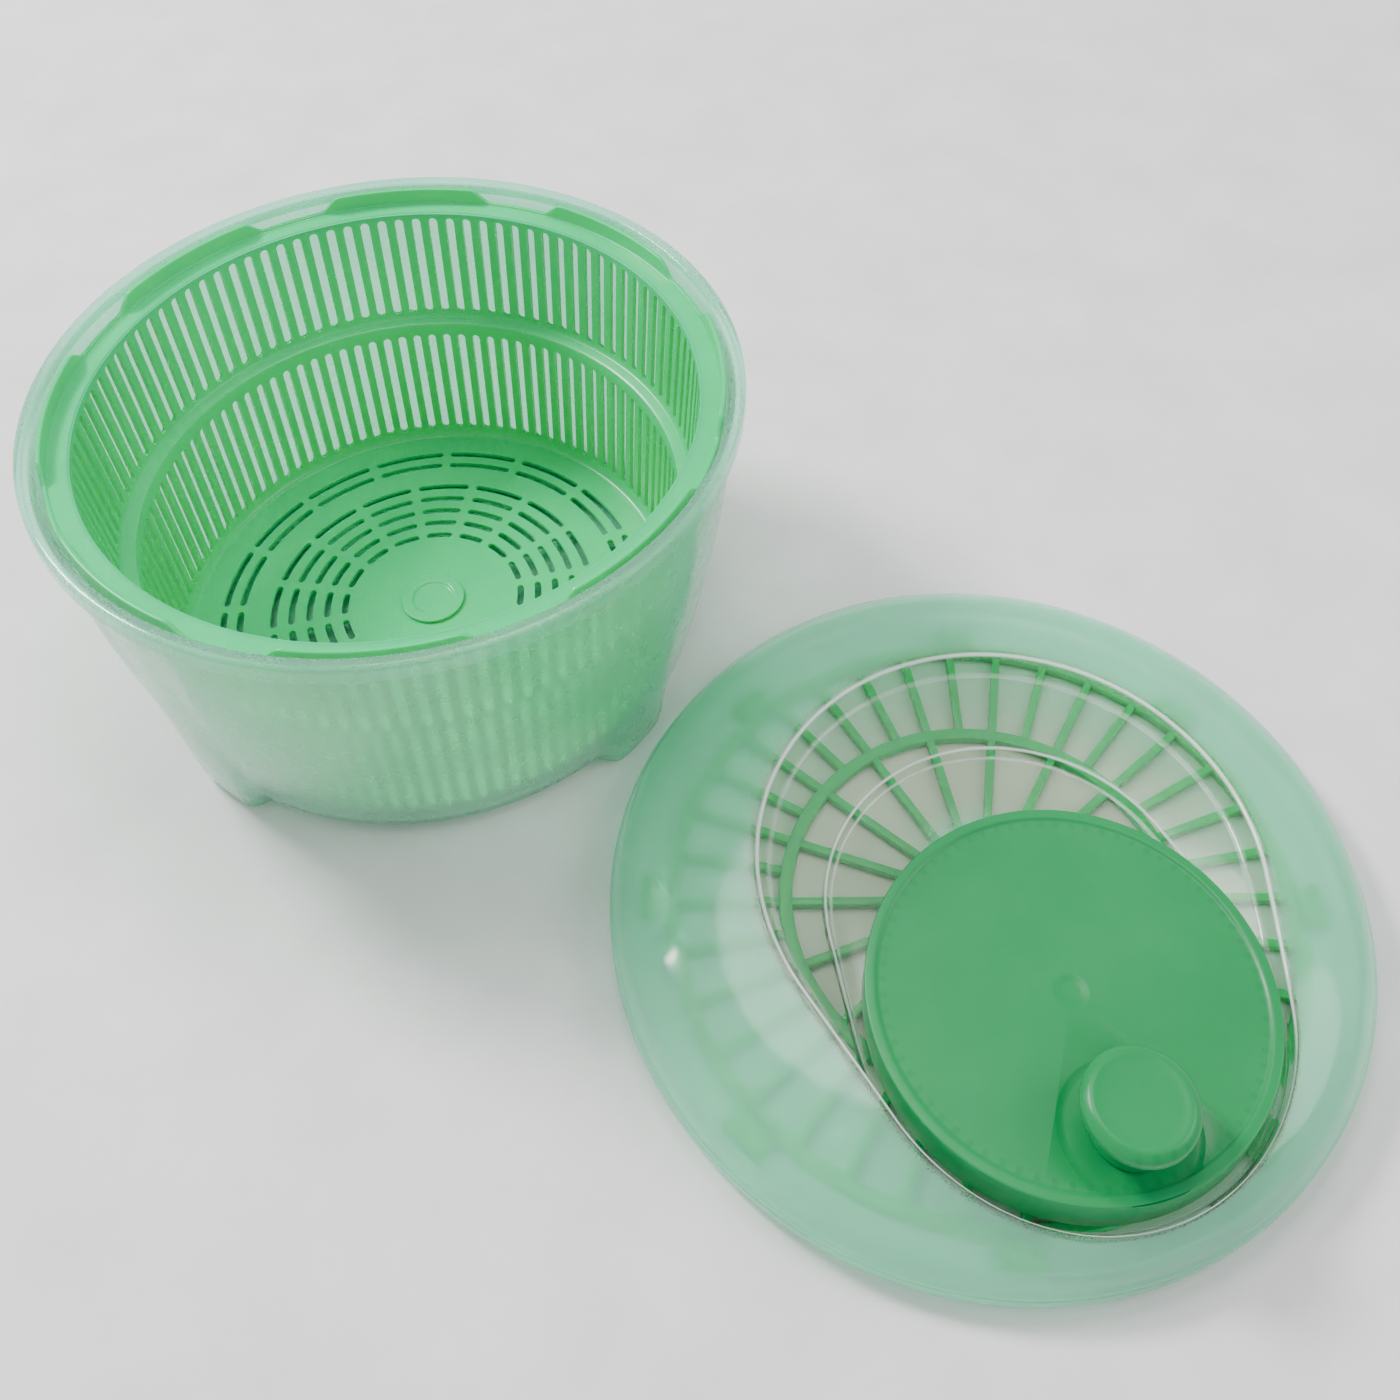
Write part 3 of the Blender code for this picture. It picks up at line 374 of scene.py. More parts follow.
def disc_look(name, base, centre):
    """The crank disc's plastic, with the ring gear's teeth showing faintly through its edge."""
    made = moulded(name, base, roughness=0.33, subsurface=0.15, grain=0.2)
    tree = made.node_tree
    shader = tree.nodes["Principled BSDF"]
    place = tree.nodes.new("ShaderNodeTexCoord").outputs["Object"]
    shift = tree.nodes.new("ShaderNodeVectorMath")
    shift.operation = "SUBTRACT"
    shift.inputs[1].default_value = (*centre, 0)
    tree.links.new(place, shift.inputs[0])
    parts = tree.nodes.new("ShaderNodeSeparateXYZ")
    tree.links.new(shift.outputs["Vector"], parts.inputs["Vector"])

    def maths(operation, a, b=None):
        node = tree.nodes.new("ShaderNodeMath")
        node.operation = operation
        for i, value in enumerate((a, b)):
            if isinstance(value, (int, float)):
                node.inputs[i].default_value = value
            elif value is not None:
                tree.links.new(value, node.inputs[i])
        return node.outputs["Value"]

    x, y = parts.outputs["X"], parts.outputs["Y"]
    reach = maths("SQRT", maths("ADD", maths("MULTIPLY", x, x), maths("MULTIPLY", y, y)))
    turn = maths("MULTIPLY", maths("ARCTAN2", y, x), 72.0)
    tooth = ramp(tree, maths("SINE", turn), 0.0, 1.0, 0.1, 0.7)
    near = maths("ABSOLUTE", maths("SUBTRACT", reach, 0.0588))
    band = ramp(tree, near, 1.0, 0.0, 0.0008, 0.0016)
    dash = maths("MULTIPLY", tooth, band)
    overlay(tree, shader, maths("MULTIPLY", dash, 0.35), tuple(c * 0.75 for c in base))
    bump = tree.nodes.new("ShaderNodeBump")
    bump.inputs["Strength"].default_value, bump.inputs["Distance"].default_value = 0.3, 0.00008
    tree.links.new(dash, bump.inputs["Height"])
    tree.links.new(shader.inputs["Normal"].links[0].from_socket, bump.inputs["Normal"])
    tree.links.new(bump.outputs["Normal"], shader.inputs["Normal"])
    return made


def metal(name, base):
    """Zinc-plated steel with faint turning marks and dull patches."""
    made = moulded(name, base, roughness=0.34, grain=0.1)
    made.node_tree.nodes["Principled BSDF"].inputs["Metallic"].default_value = 1.0
    return made


def repaint(node, look):
    """Gives a CAD node that stays in view a detailed look."""
    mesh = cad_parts[node].data
    if not mesh.materials:
        mesh.materials.append(look)
    for i in range(len(mesh.materials)):
        mesh.materials[i] = look
    for face in mesh.polygons:
        face.use_smooth = True
    mesh.set_sharp_from_angle(angle=SMOOTH_ANGLE)


# Bowl and basket -------------------------------------------------------------------------------

def bowl_paths(sizes, columns, levels):
    """Outer then inner path of the bowl's wall at each column, from the bottom's edge inward."""
    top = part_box("bowl")[1].z
    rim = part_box("bowl")[1].x
    below = top - sizes.rim_skirt
    paths = []
    for i in range(columns):
        turn = 2 * pi * i / columns
        away = nearest(turn, pi / 2, sizes.foot_phase)
        share = smooth_step((away - sizes.foot_half) / sizes.foot_blend)
        lean = (sizes.neck - sizes.foot) / below
        foot = [(sizes.foot - sizes.foot_depth - 6 * MM, 0.0), (sizes.foot - 4.6 * MM, 0.0),
                (sizes.foot - 0.6 * MM, 0.0),
                (sizes.foot + lean * 5 * MM, 5 * MM)]
        belly = [(sizes.belly - 14 * MM, 0.0), (sizes.belly - 5 * MM, 0.0), (sizes.belly + 2 * MM, 1.6 * MM),
                 (sizes.belly + 5.4 * MM, 6.4 * MM)]
        for k in range(1, levels):
            z = 5 * MM + (below - 5 * MM) * k / levels
            foot.append((sizes.foot + lean * z, z))
            widest = sizes.neck - sizes.belly - 7 * MM
            belly.append((sizes.belly + 7 * MM + widest * (1 - (1 - z / below) ** 1.6), z))
        mixed = [Vector(f).lerp(Vector(b), share) for f, b in zip(foot, belly)]
        mixed.append(Vector((sizes.neck, below + 1 * MM)))
        outer = soften(mixed, [3 * MM, 3 * MM, 3 * MM] + [0.0] * (len(mixed) - 5))
        inner = []
        for k, point in enumerate(outer):
            run = outer[min(k + 1, len(outer) - 1)] - outer[max(k - 1, 0)]
            run.normalize()
            inner.append(point + Vector((-run.y, run.x)) * sizes.wall)
        inner[0].x = outer[0].x
        lip = soften([Vector(p) for p in (
            (sizes.neck, below + 1 * MM), (sizes.neck + 0.2 * MM, below + 4.2 * MM),
            (rim - 1.7 * MM, below + 4.2 * MM),
            (rim - 1.7 * MM, below), (rim, below), (rim, top), (rim - 5 * MM, top),
            (sizes.neck - sizes.wall, below + 1 * MM))],
            [1 * MM, 1 * MM, 0.7 * MM, 0.7 * MM, 1.8 * MM, 1.4 * MM])
        flat = outer[:-1] + lip + inner[-2::-1]
        paths.append([Vector((p.x * cos(turn), p.x * sin(turn), p.y)) for p in flat])
    return paths


def basket_wall(sizes, flange, floor):
    """Inner radius, height, outward offset direction and slot width share down the basket's wall."""
    upper, mouth = sizes.mouth - sizes.taper, sizes.mouth
    lower = upper - sizes.ledge
    base = lower - sizes.taper
    levels = [(mouth + 1.0 * MM, flange, 0.0, 0.0), (mouth + 0.2 * MM, flange - 0.3 * MM, 0.5, 0.0),
              (mouth, flange - 1.4 * MM, 1.0, 0.0), (mouth - 0.05 * MM, flange - 1.8 * MM, 1.0, 0.0)]
    end = 1.6 * MM
    ends = [(0.0, 0.1), (0.06, 0.34), (0.25, 0.66), (0.55, 0.9), (1.0, 1.0)]
    for top, low, r_top, r_low in ((flange - 2.2 * MM, flange - 48.2 * MM, mouth - 0.1 * MM,
                                    upper + 0.1 * MM),
                                   (flange - 56 * MM, flange - 107.6 * MM, lower - 0.4 * MM, base)):
        def radius(z):
            return r_top + (r_low - r_top) * (top - z) / (top - low)
        levels += [(radius(top - s * end), top - s * end, 1.0, w) for s, w in ends]
        levels += [(radius(low + s * end), low + s * end, 1.0, w) for s, w in ends[::-1]]
        if low > floor + 20 * MM:
            step = flange - 49.4 * MM
            levels += [(upper, step + 0.4 * MM, 1.0, 0.0), (upper - 0.4 * MM, step - 0.3 * MM, 0.5, 0.0),
                       (upper - 1.2 * MM, step - 0.7 * MM, 0.1, 0.0),
                       (lower + 1.2 * MM, step - 1.1 * MM, 0.1, 0.0),
                       (lower + 0.3 * MM, step - 1.6 * MM, 0.5, 0.0), (lower, step - 2.6 * MM, 1.0, 0.0)]
    levels += [(base - 0.3 * MM, floor + 2.6 * MM, 0.9, 0.0), (base - 1.1 * MM, floor + 1.0 * MM, 0.6, 0.0),
               (base - 2.4 * MM, floor + 0.2 * MM, 0.25, 0.0), (base - 3.6 * MM, floor, 0.0, 0.0)]
    return levels


def framed(shape, inner, outer, windows):
    """Faces over two grids, with the open cells framed between them."""
    count = len(inner[0])
    for k in range(len(inner) - 1):
        for c in range(count):
            d = (c + 1) % count
            cells = [(side[k][c], side[k][d], side[k + 1][d], side[k + 1][c]) for side in (inner, outer)]
            if not windows(k, c):
                for cell in cells:
                    shape.faces.new(cell)
                continue
            corners = list(zip(*cells))
            for n, neighbour in enumerate(((k - 1, c), (k, d), (k + 1, c), (k, (c - 1) % count))):
                if not windows(*neighbour):
                    a, b = corners[n], corners[(n + 1) % 4]
                    shape.faces.new((a[0], b[0], b[1], a[1]))


def bridge(shape, low, high):
    """Joins two rings that hold different numbers of points, in step by their angle."""
    rings, turns = [], []
    for row in (low, high):
        ordered = sorted(row, key=lambda point: atan2(point.co.y, point.co.x))
        angles = [atan2(point.co.y, point.co.x) for point in ordered]
        rings.append(ordered + ordered[:1])
        turns.append(angles + [angles[0] + 2 * pi])
    i = j = 0
    while i + 1 < len(rings[0]) or j + 1 < len(rings[1]):
        on_low = j + 1 == len(rings[1]) or (i + 1 < len(rings[0]) and turns[0][i + 1] <= turns[1][j + 1])
        ahead = rings[0][i + 1] if on_low else rings[1][j + 1]
        shape.faces.new((rings[0][i], ahead, rings[1][j]))
        i, j = (i + 1, j) if on_low else (i, j + 1)


def floor_band(shape, sizes, rings, outer_edge, inner_edge, phase, floor):
    """A band of the basket's floor with rings of round-ended slots between sixteen ribs."""
    ribs, half, reach = 16, 1.3 * MM, 1.3 * MM
    offsets = [(0.0, 0.12), (0.15, 0.5), (0.45, 0.84), (1.0, 1.0)]
    stations = [(s * reach, w, 0.0) for s, w in offsets] + [(None, 1.0, f) for f in (0.25, 0.5, 0.75)]
    stations += [(-s * reach, w, 1.0) for s, w in offsets[::-1]]
    rows = [(outer_edge, 0.0)]
    for ring in rings:
        rows += [(ring * MM, 1.0), (ring * MM, -1.0)]
    rows.append((inner_edge, 0.0))
    grids = []
    for z in (floor, floor - sizes.wall):
        grid = []
        for radius, side in rows:
            row = []
            for rib in range(ribs):
                edge = min(asin(1.6 * MM / radius), radians(3))
                start, end = edge, 2 * pi / ribs - edge
                for offset, width, share in stations:
                    most = 0.22 * (end - start)
                    turn = start + (end - start) * share + max(-most, min(most, (offset or 0.0) / radius))
                    turn += phase + 2 * pi * rib / ribs
                    r = radius + side * half * width
                    row.append(shape.verts.new((r * cos(turn), r * sin(turn), z)))
            grid.append(row)
        grids.append(grid)
    per = len(stations)
    framed(shape, *grids, lambda k, c: k % 2 == 1 and k < len(rows) - 2 and c % per != per - 1)
    return grids


def build_basket(sizes, look):
    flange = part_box("bowl")[1].z - sizes.flange_drop
    floor = sizes.basket_floor
    levels = basket_wall(sizes, flange, floor)
    pitch = 2 * pi / sizes.slot_count
    shape = bmesh.new()
    grids = []
    for outside in (0, 1):
        grid = []
        for r, z, across, width in levels:
            offset = outside * sizes.wall
            r, z = r + offset * sqrt(max(0.0, 1 - (1 - across) ** 2)), z - offset * (1 - across)
            open_half = pitch * sizes.slot_share / 2 * (width or 0.1)
            row = []
            for i in range(sizes.slot_count):
                for turn in (-open_half, open_half, pitch / 2):
                    turn += i * pitch
                    row.append(shape.verts.new((r * cos(turn), r * sin(turn), z)))
            grid.append(row)
        grids.append(grid)
    slotted = [k for k in range(len(levels) - 1) if levels[k][3] and levels[k + 1][3]]
    framed(shape, *grids, lambda k, c: k in slotted and c % 3 == 0)
    rims = [g[0] for g in grids]
    for i, a in enumerate(rims[0]):
        j = (i + 1) % len(rims[0])
        b = rims[0][j]
        shape.faces.new((a, b, rims[1][j], rims[1][i]))

    outer = floor_band(shape, sizes, (82.5, 76.0), 88 * MM, 69.5 * MM, pi / 16, floor)
    inner = floor_band(shape, sizes, (63.0, 56.0, 49.0, 42.0, 35.0), 67 * MM, 8.3 * MM, 0.0, floor)
    for side in (0, 1):
        bridge(shape, grids[side][-1], outer[side][0])
        bridge(shape, outer[side][-1], inner[side][0])
    count = len(inner[0][-1])
    for i in range(count):
        j = (i + 1) % count
        shape.faces.new((inner[0][-1][i], inner[0][-1][j], inner[1][-1][j], inner[1][-1][i]))
    crown(shape, sizes, flange)
    piece("salad_basket", shape, look, "basket", ["basket"])


def crown(shape, sizes, flange):
    """The flange and the standing ring of eight sloped tabs round the basket's mouth."""
    outside = 117.9 * MM
    inside, high, lip = outside - 1.6 * MM, 6.4 * MM, 0.8 * MM
    paths = []
    for i in range(720):
        turn = 2 * pi * i / 720
        away = nearest(turn, pi / 4, sizes.crown_phase)
        rise = smooth_step((radians(16.6) - away) / radians(3.3) * 0.8 + 0.1)
        top = flange + lip + (high - lip) * rise
        corners = [Vector(p) for p in ((sizes.mouth + 0.8 * MM, flange), (inside, flange), (inside, top),
                                       (outside, top),
                                       (outside, flange - 1.8 * MM), (sizes.mouth + 0.8 * MM,
                                                                      flange - 1.8 * MM))]
        loop = soften(corners[-1:] + corners + corners[:1],
                      [0, 0.9 * MM, 0.5 * MM, 0.5 * MM, 0.6 * MM, 0], 3)[1:-1]
        paths.append([Vector((p.x * cos(turn), p.x * sin(turn), p.y)) for p in loop])
    skin(shape, paths, closed=True)


# Lid -------------------------------------------------------------------------------------------

def lid_places():
    """Axis of the lid, axis of the crank disc, axis of the knob and height of the lid's lower edge."""
    return (middle("drive_plate").xy, middle("crank_disc").xy, middle("knob").xy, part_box("lid_shell")[0].z)


def oval(centre, radius, end_centre, end_radius, eye, rays):
    """Where rays from an eye leave the band swept between two circles."""
    points = []
    for ray in rays:
        reach = 0.0
        for step in range(41):
            share = step / 40
            to = centre.lerp(end_centre, share) - eye
            size = radius + (end_radius - radius) * share
            along = to.dot(ray)
            reach = max(reach, along + sqrt(max(0.0, size * size - to.length_squared + along * along)))
        points.append(eye + ray * reach)
    return points


def build_lid(sizes, look):
    axis, crank, _, base = lid_places()
    eye = axis + Vector((4, -20)) * MM
    recess, well = axis + Vector((6, -1)) * MM, axis + Vector((3, -13)) * MM
    rays = [Vector((cos(2 * pi * i / 288), sin(2 * pi * i / 288))) for i in range(288)]
    outside = 128.0 * MM
    disc = 64.2 * MM + 2.2 * MM
    wall, top = sizes.lid_wall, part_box("crank_disc")[1].z - base - 0.7 * MM
    shoulder_high, flat = 8 * MM, 70 * MM

    def dome(point, out=0.0):
        share = ((point - axis).length + out - flat) / (outside - 1.4 * MM - flat)
        return shoulder_high + (top - shoulder_high) * sqrt(max(0.0, 1 - max(0.0, share) ** 2))

    def ring(centre, radius, end=None):
        return oval(centre, radius, centre if end is None else crank, radius if end is None else end, eye,
                    rays)

    crest, shoulder = ring(recess, sizes.recess, disc + 2.2 * MM), ring(axis, outside - 1.4 * MM)
    seat = ring(axis, 122.8 * MM)
    hollow = ring(recess, sizes.recess + wall, disc + 3.4 * MM)
    rows = [(ring(well, sizes.well, disc), 12.0 * MM, 1.0, 1.0),
            (ring(well, sizes.well + 1.6 * MM, disc + 0.8 * MM), 15.8 * MM, 0.9, 1.0),
            (ring(recess, sizes.recess - 3.5 * MM, disc + 1.5 * MM), 17 * MM, 1.6, 1.0),
            (crest, None, 1.3, 0.75)]
    rows += [([a.lerp(b, s) for a, b in zip(crest, shoulder)], None, 0.0, clear)
             for s, clear in ((0.07, 0.45), (0.16, 0.2), (0.28, 0.0), (0.4, 0.0), (0.52, 0.0),
                              (0.64, 0.0), (0.75, 0.0),
                              (0.85, 0.0), (0.92, 0.0), (0.97, 0.0))]
    rows += [(shoulder, shoulder_high, 1.2, 0.0)]
    for radius, height in ((128.0, 6.6), (128.0, 4.9), (127.0, 4.3), (128.0, 3.5), (128.0, 0.0),
                           (125.6, 0.0), (125.6, 2.0)):
        rows.append((ring(axis, radius * MM), height * MM, 0.5, 0.0))
    rows += [(seat, 2 * MM, 0.4, 0.0), (seat, -wall, 1.0, 0.0)]
    rows += [([a.lerp(b, s) for a, b in zip(hollow, seat)], -wall, 0.0, 0.0)
             for s in (0.85, 0.65, 0.45, 0.25, 0.1)]
    rows += [(hollow, -wall, 1.0, 0.5), (ring(recess, sizes.recess - 3.5 * MM + wall, disc + 2.7 * MM),
                                         17 * MM - wall, 1.0, 1.0),
             (ring(well, sizes.well + 1.6 * MM + wall, disc + 2 * MM), 15.8 * MM - wall, 0.8, 1.0),
             (ring(well, sizes.well + wall, disc + 1.2 * MM), 12 * MM - wall, 1.0, 1.0)]
    shape = bmesh.new()
    # The edge layer holds the strength of painted highlight lines, not a real edge marking.
    mask, painted_highlight_layer = shape.verts.layers.float.new("clear"), shape.verts.layers.float.new("edge")
    paths, clear_and_highlight = [], []
    for c in range(len(rays)):
        points = []
        for row, height, _, _ in rows:
            point = row[c]
            level = height
            if height is None:
                level = dome(point)
            elif height < 0:
                level = dome(point, 0.9 * MM) - wall
            points.append(Vector((point.x, point.y, base + level)))
        paths.append(soften([Vector((*points[0].xy.lerp(eye, 0.1), points[0].z))] + points
                            + [Vector((*points[-1].xy.lerp(eye, 0.1), points[-1].z))],
                            [row[2] * MM for row in rows], 3))
    for k, (_, _, size, clear) in enumerate(rows):
        # Painted highlight strength at the corners of the well floor, step, recess and crest rows.
        painted_highlight = {0: 0.5, 1: 0.9, 2: 0.3, 3: 1.0}.get(k, 0.0)
        clear_and_highlight += [(clear, painted_highlight * on) for on in (0, 1, 1, 0)] if size else [(clear, 0.0)]
    clear_and_highlight = clear_and_highlight[:1] + clear_and_highlight + clear_and_highlight[-1:]
    grid = skin(shape, paths)
    for path in grid:
        for point, (clear, painted_highlight) in zip(path, clear_and_highlight):
            point[mask], point[painted_highlight_layer] = clear, painted_highlight
    for end, level in ((0, 12.0 * MM), (-1, 12 * MM - wall)):
        cap(shape, [path[end] for path in grid], (*eye, base + level))
    for point in shape.verts:
        if (point.co.xy - eye).length < 1e-6:
            point[mask] = 1.0
    lid = piece("lid", shape, look, "lid", ["lid_shell"])
    for centre, radius in ((axis, 6.8 * MM), (crank, 6.8 * MM)):
        drill = bmesh.new()
        lathe(drill, [(0, base + 5 * MM), (radius, base + 5 * MM), (radius, base + 14.5 * MM),
                      (0, base + 14.5 * MM)], 48, centre, 0.0)
        carve(lid, drill)


def build_crank(sizes, look):
    _, crank, knob, base = lid_places()
    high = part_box("crank_disc")[1].z
    top = high - 0.7 * MM
    radius = (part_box("crank_disc")[1].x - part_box("crank_disc")[0].x) / 2
    under, skirt, stud = top - 1.8 * MM, base + 12.6 * MM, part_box("crank_disc")[0].z
    inner = radius - 1.8 * MM
    profile = [(0, stud + 8 * MM), (1.8 * MM, stud + 8 * MM), (1.8 * MM, stud), (6.5 * MM, stud),
               (6.5 * MM, under),
               (inner, under), (inner, skirt), (radius, skirt), (radius, high), (radius - 3.2 * MM, high),
               (radius - 4.1 * MM, top), (5.5 * MM, top), (3.2 * MM, top - 0.5 * MM), (0, top - 0.55 * MM)]
    shape = bmesh.new()
    lathe(shape, profile, 288, crank, 0.6 * MM)
    disc = piece("crank_wheel", shape, look, "crank", ["crank_disc"])
    dish = bmesh.new()
    lathe(dish, [(0, top - 0.7 * MM), (19.6 * MM, top - 0.7 * MM), (21.6 * MM, top),
                 (22.4 * MM, top + 0.6 * MM),
                 (0, top + 0.6 * MM)], 96, knob, 0.9 * MM)
    carve(disc, dish)
    drill = bmesh.new()
    lathe(drill, [(0, under - 1 * MM), (4.3 * MM, under - 1 * MM), (4.3 * MM, top + 1 * MM),
                  (0, top + 1 * MM)], 48, knob, 0.0)
    carve(disc, drill)
    teeth = bmesh.new()
    low, up = base + 13.8 * MM, base + 19.4 * MM
    count, pitch_radius = 72, 60 * MM
    paths = []
    for tooth in range(count):
        for turn, reach in ((-0.42, 1.85), (-0.16, -1.25), (0.16, -1.25), (0.42, 1.85)):
            turn = ((tooth + turn) * 2 * pi / count + atan2(*(crank - middle("drive_pinion").xy).yx)
                    + pi + pi / count)
            inside, outside = pitch_radius + reach * MM, inner + 0.5 * MM
            points = [(inside, low), (inside, up), (outside, up), (outside, low)]
            paths.append([Vector((crank.x + r * cos(turn), crank.y + r * sin(turn), z)) for r, z in points])
    skin(teeth, paths, closed=True)
    piece("ring_teeth", teeth, look, "crank", ())

    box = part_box("knob")
    size, seat, cap_top = (box[1].x - box[0].x) / 2, box[0].z, box[1].z
    under_cap = cap_top - 8 * MM
    shape = bmesh.new()
    lathe(shape, [(0, cap_top - 4.4 * MM), (4.3 * MM, cap_top - 4.4 * MM), (4.3 * MM, seat),
                  (12.6 * MM, seat),
                  (11.5 * MM, seat + 3 * MM), (11.4 * MM, under_cap), (size - 1.6 * MM, under_cap + 0.4 * MM),
                  (size, under_cap + 2.6 * MM), (size, cap_top - 2 * MM), (size - 2.6 * MM, cap_top),
                  (size - 5.5 * MM, cap_top - 0.3 * MM), (0, cap_top - 0.5 * MM)], 128, knob, 1.1 * MM)
    piece("turning_knob", shape, look, "knob", ["knob"])


def build_drive(sizes, look):
    axis, _, _, base = lid_places()
    low, high = 0.0, 3.5 * MM
    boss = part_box("drive_plate")[1].z
    shape = bmesh.new()
    lathe(shape, [(3.9 * MM, low), (17 * MM, low), (17 * MM, high), (9.4 * MM, high), (8.5 * MM, boss),
                  (4.8 * MM, boss),
                  (4.8 * MM, high + 1.6 * MM), (1.9 * MM, high + 1.6 * MM), (1.9 * MM, low + 3.1 * MM),
                  (3.9 * MM, low + 3.1 * MM)],
          96, axis, 0.5 * MM)
    for inner, outer in ((65.8, 70.4), (104.8, 109.0)):
        lathe(shape, [(inner * MM, low), (outer * MM, low), (outer * MM, high), (inner * MM, high)], 288,
              axis, 0.6 * MM)
    phase = radians(5.6)
    for k in range(36):
        turn = phase + k * pi / 18
        bar(shape, 69 * MM, 106 * MM, sizes.spoke, low + 0.2 * MM, high - 0.2 * MM, turn, axis, 0.5 * MM)
        if k % 2 == 0:
            bar(shape, 15 * MM, 67 * MM, sizes.spoke, low + 0.2 * MM, high - 0.2 * MM, turn, axis, 0.5 * MM)
    for n in range(8):
        turn = radians(-16) + n * pi / 4
        bar(shape, 107 * MM, 117.4 * MM, 15 * MM, low, high, turn, axis, 0.7 * MM)
    piece("drive_spider", shape, look, "drive", ["drive_plate"])


# Operators -------------------------------------------------------------------------------------

class Build(bpy.types.Operator):
    """Shared start of every step"""

    bl_options = {"REGISTER", "UNDO"}

    @property
    def sizes(self):
        return bpy.context.scene.spinner_sizes

    @property
    def colours(self):
        return bpy.context.scene.spinner_colours


class SPINNER_OT_bowl(Build):
    """Builds the frosted footed bowl"""

    bl_idname = "spinner.bowl"
    bl_label = "Bowl"

    def execute(self, context):
        shape = bmesh.new()
        grid = skin(shape, bowl_paths(self.sizes, BOWL_SIDES, 26))
        cap(shape, [path[0] for path in grid], (0, 0, 0.0))
        ring = [path[-1] for path in grid]
        inner = []
        for radius, z in ((20 * MM, self.sizes.wall), (5 * MM, self.sizes.wall),
                          (4 * MM, self.sizes.wall + 0.8 * MM),
                          (4 * MM, self.sizes.wall + 2.4 * MM), (3.2 * MM, self.sizes.wall + 3.2 * MM)):
            inner.append([shape.verts.new((radius * cos(2 * pi * i / BOWL_SIDES),
                                           radius * sin(2 * pi * i / BOWL_SIDES), z))
                          for i in range(BOWL_SIDES)])
        for a, b in zip([ring] + inner, inner):
            for i in range(BOWL_SIDES):
                j = (i + 1) % BOWL_SIDES
                shape.faces.new((a[i], a[j], b[j], b[i]))
        cap(shape, inner[-1], (0, 0, self.sizes.wall + 3.2 * MM))
        piece("footed_bowl", shape, frosted("frosted_bowl", self.colours.milk, 0.3, 0.80), "base",
              ["bowl"])
        return {"FINISHED"}


class SPINNER_OT_basket(Build):
    """Builds the slotted basket with its crown"""

    bl_idname = "spinner.basket"
    bl_label = "Basket"

    def execute(self, context):
        look = moulded("basket_green", self.colours.basket, roughness=0.24, subsurface=0.3)
        build_basket(self.sizes, look)
        centre = bmesh.new()
        low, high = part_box("pivot_cup")
        radius = (high.x - low.x) / 2
        lathe(centre, [(0, low.z + 2.6 * MM), (4.3 * MM, low.z + 2.6 * MM), (4.3 * MM, low.z),
                       (radius - 1.4 * MM, low.z),
                       (radius - 1.4 * MM, low.z + 1.2 * MM), (8 * MM, low.z + 1.2 * MM),
                       (8 * MM, high.z - 1.2 * MM),
                       (radius, high.z - 1.2 * MM), (radius, high.z), (8.6 * MM, high.z),
                       (7.4 * MM, high.z - 0.7 * MM),
                       (0, high.z - 0.7 * MM)], 96, (0, 0), 0.45 * MM)
        piece("pivot_hub", centre, look, "pivot", ["pivot_cup"])
        return {"FINISHED"}


class SPINNER_OT_lid(Build):
    """Builds the lid's frosted dome and clear recess"""

    bl_idname = "spinner.lid"
    bl_label = "Lid"

    def execute(self, context):
        build_lid(self.sizes, frosted("lid_plastic", self.colours.milk, 0.42, 0.80, "clear",
                                      self.colours.clear))
        return {"FINISHED"}


class SPINNER_OT_crank(Build):
    """Builds the crank disc, its ring gear and the knob"""

    bl_idname = "spinner.crank"
    bl_label = "Crank"

    def execute(self, context):
        build_crank(self.sizes, disc_look("crank_green", self.colours.disc, middle("crank_disc").xy))
        return {"FINISHED"}


class SPINNER_OT_drive(Build):
    """Builds the spoked drive plate and finishes the small fittings"""

    bl_idname = "spinner.drive"
    bl_label = "Drive"

    def execute(self, context):
        build_drive(self.sizes, moulded("drive_green", self.colours.basket, roughness=0.26, subsurface=0.2))
        acetal = moulded("acetal", self.colours.acetal, roughness=0.35, subsurface=0.1)
        steel = metal("zinc_steel", self.colours.steel)
        for node in ("drive_pinion", "drive_bush", "knob_spindle"):
            repaint(node, acetal)
        for node in ("crank_washer", "crank_screw", "drive_washer", "drive_screw"):
            repaint(node, steel)
        return {"FINISHED"}


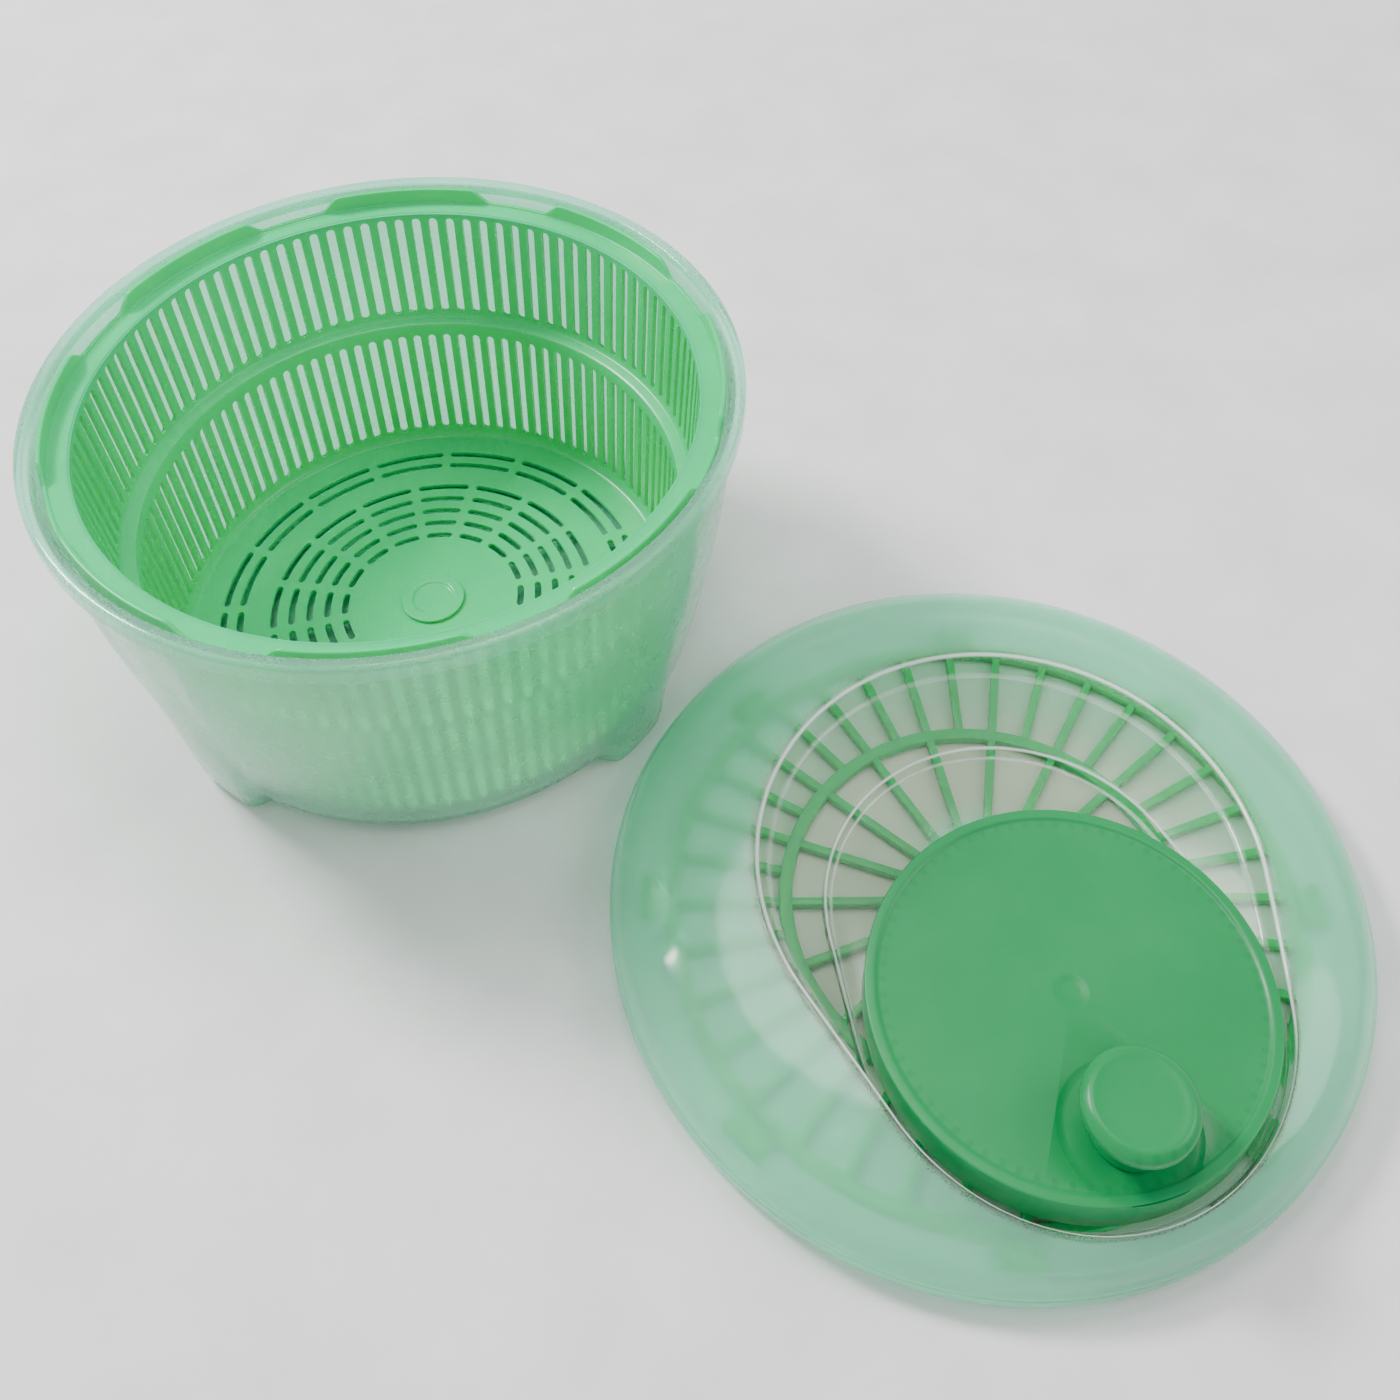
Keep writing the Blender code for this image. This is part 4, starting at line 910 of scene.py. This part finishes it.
class SPINNER_OT_stage(Build):
    """Sets the floor, the soft lights and the camera"""

    bl_idname = "spinner.stage"
    bl_label = "Stage"

    def execute(self, context):
        shape = bmesh.new()
        bmesh.ops.create_grid(shape, x_segments=1, y_segments=1, size=6.0)
        floor = piece("table", shape, moulded("table_paint", self.colours.floor, roughness=0.5,
                                              grain=0.05), None)
        floor.location.z = -0.0002
        world = bpy.data.worlds.new("studio")
        world.use_nodes = True
        world.node_tree.nodes["Background"].inputs["Color"].default_value = (*self.colours.sky, 1)
        world.node_tree.nodes["Background"].inputs["Strength"].default_value = 0.75
        context.scene.world = world
        for name, place, size, power in (("key", (-0.9, 0.9, 1.5), 0.5, 40.0),
                                         ("fill", (1.3, -0.5, 1.1), 0.9, 8.0),
                                         ("top", (0.1, 0.5, 1.9), 0.9, 12.0)):
            light = bpy.data.lights.new(name, "AREA")
            light.shape, light.size, light.energy = "DISK", size, power
            lamp = bpy.data.objects.new(name, light)
            lamp.location = place
            aim = Vector((0.08, -0.09, 0.03)) - lamp.location
            lamp.rotation_euler = aim.to_track_quat("-Z", "Y").to_euler()
            context.scene.collection.objects.link(lamp)
        camera = bpy.data.cameras.new("camera")
        camera.lens, camera.sensor_width = 39.793, 36.0
        camera.shift_x, camera.shift_y = -0.025, -0.1964
        camera.clip_start = 0.01
        view = bpy.data.objects.new("camera", camera)
        view.location = (0.0114, -0.41744, 0.49042)
        view.rotation_euler = Euler((radians(46.0662), radians(-0.1861), radians(-15.1135)))
        context.scene.collection.objects.link(view)
        context.scene.camera = view
        return {"FINISHED"}


STEPS = (SPINNER_OT_bowl, SPINNER_OT_basket, SPINNER_OT_lid, SPINNER_OT_crank, SPINNER_OT_drive,
         SPINNER_OT_stage)


class SPINNER_PT_panel(bpy.types.Panel):
    """Sizes, colours and build steps"""

    bl_label = "Salad spinner"
    bl_space_type = "VIEW_3D"
    bl_region_type = "UI"
    bl_category = "Spinner"

    def draw(self, context):
        for group in (context.scene.spinner_sizes, context.scene.spinner_colours):
            for name in group.bl_rna.properties.keys():
                if name not in ("rna_type", "name"):
                    self.layout.prop(group, name)
        for step in STEPS:
            self.layout.operator(step.bl_idname)


CLASSES = (SpinnerSizes, SpinnerColours, *STEPS, SPINNER_PT_panel)


def register():
    for made in CLASSES:
        bpy.utils.register_class(made)
    bpy.types.Scene.spinner_sizes = PointerProperty(type=SpinnerSizes)
    bpy.types.Scene.spinner_colours = PointerProperty(type=SpinnerColours)


def unregister():
    del bpy.types.Scene.spinner_sizes, bpy.types.Scene.spinner_colours
    for made in reversed(CLASSES):
        bpy.utils.unregister_class(made)


def main():
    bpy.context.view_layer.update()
    register()
    for step in ("bowl", "basket", "lid", "crank", "drive", "stage"):
        getattr(bpy.ops.spinner, step)()


if __name__ == "__main__":
    main()
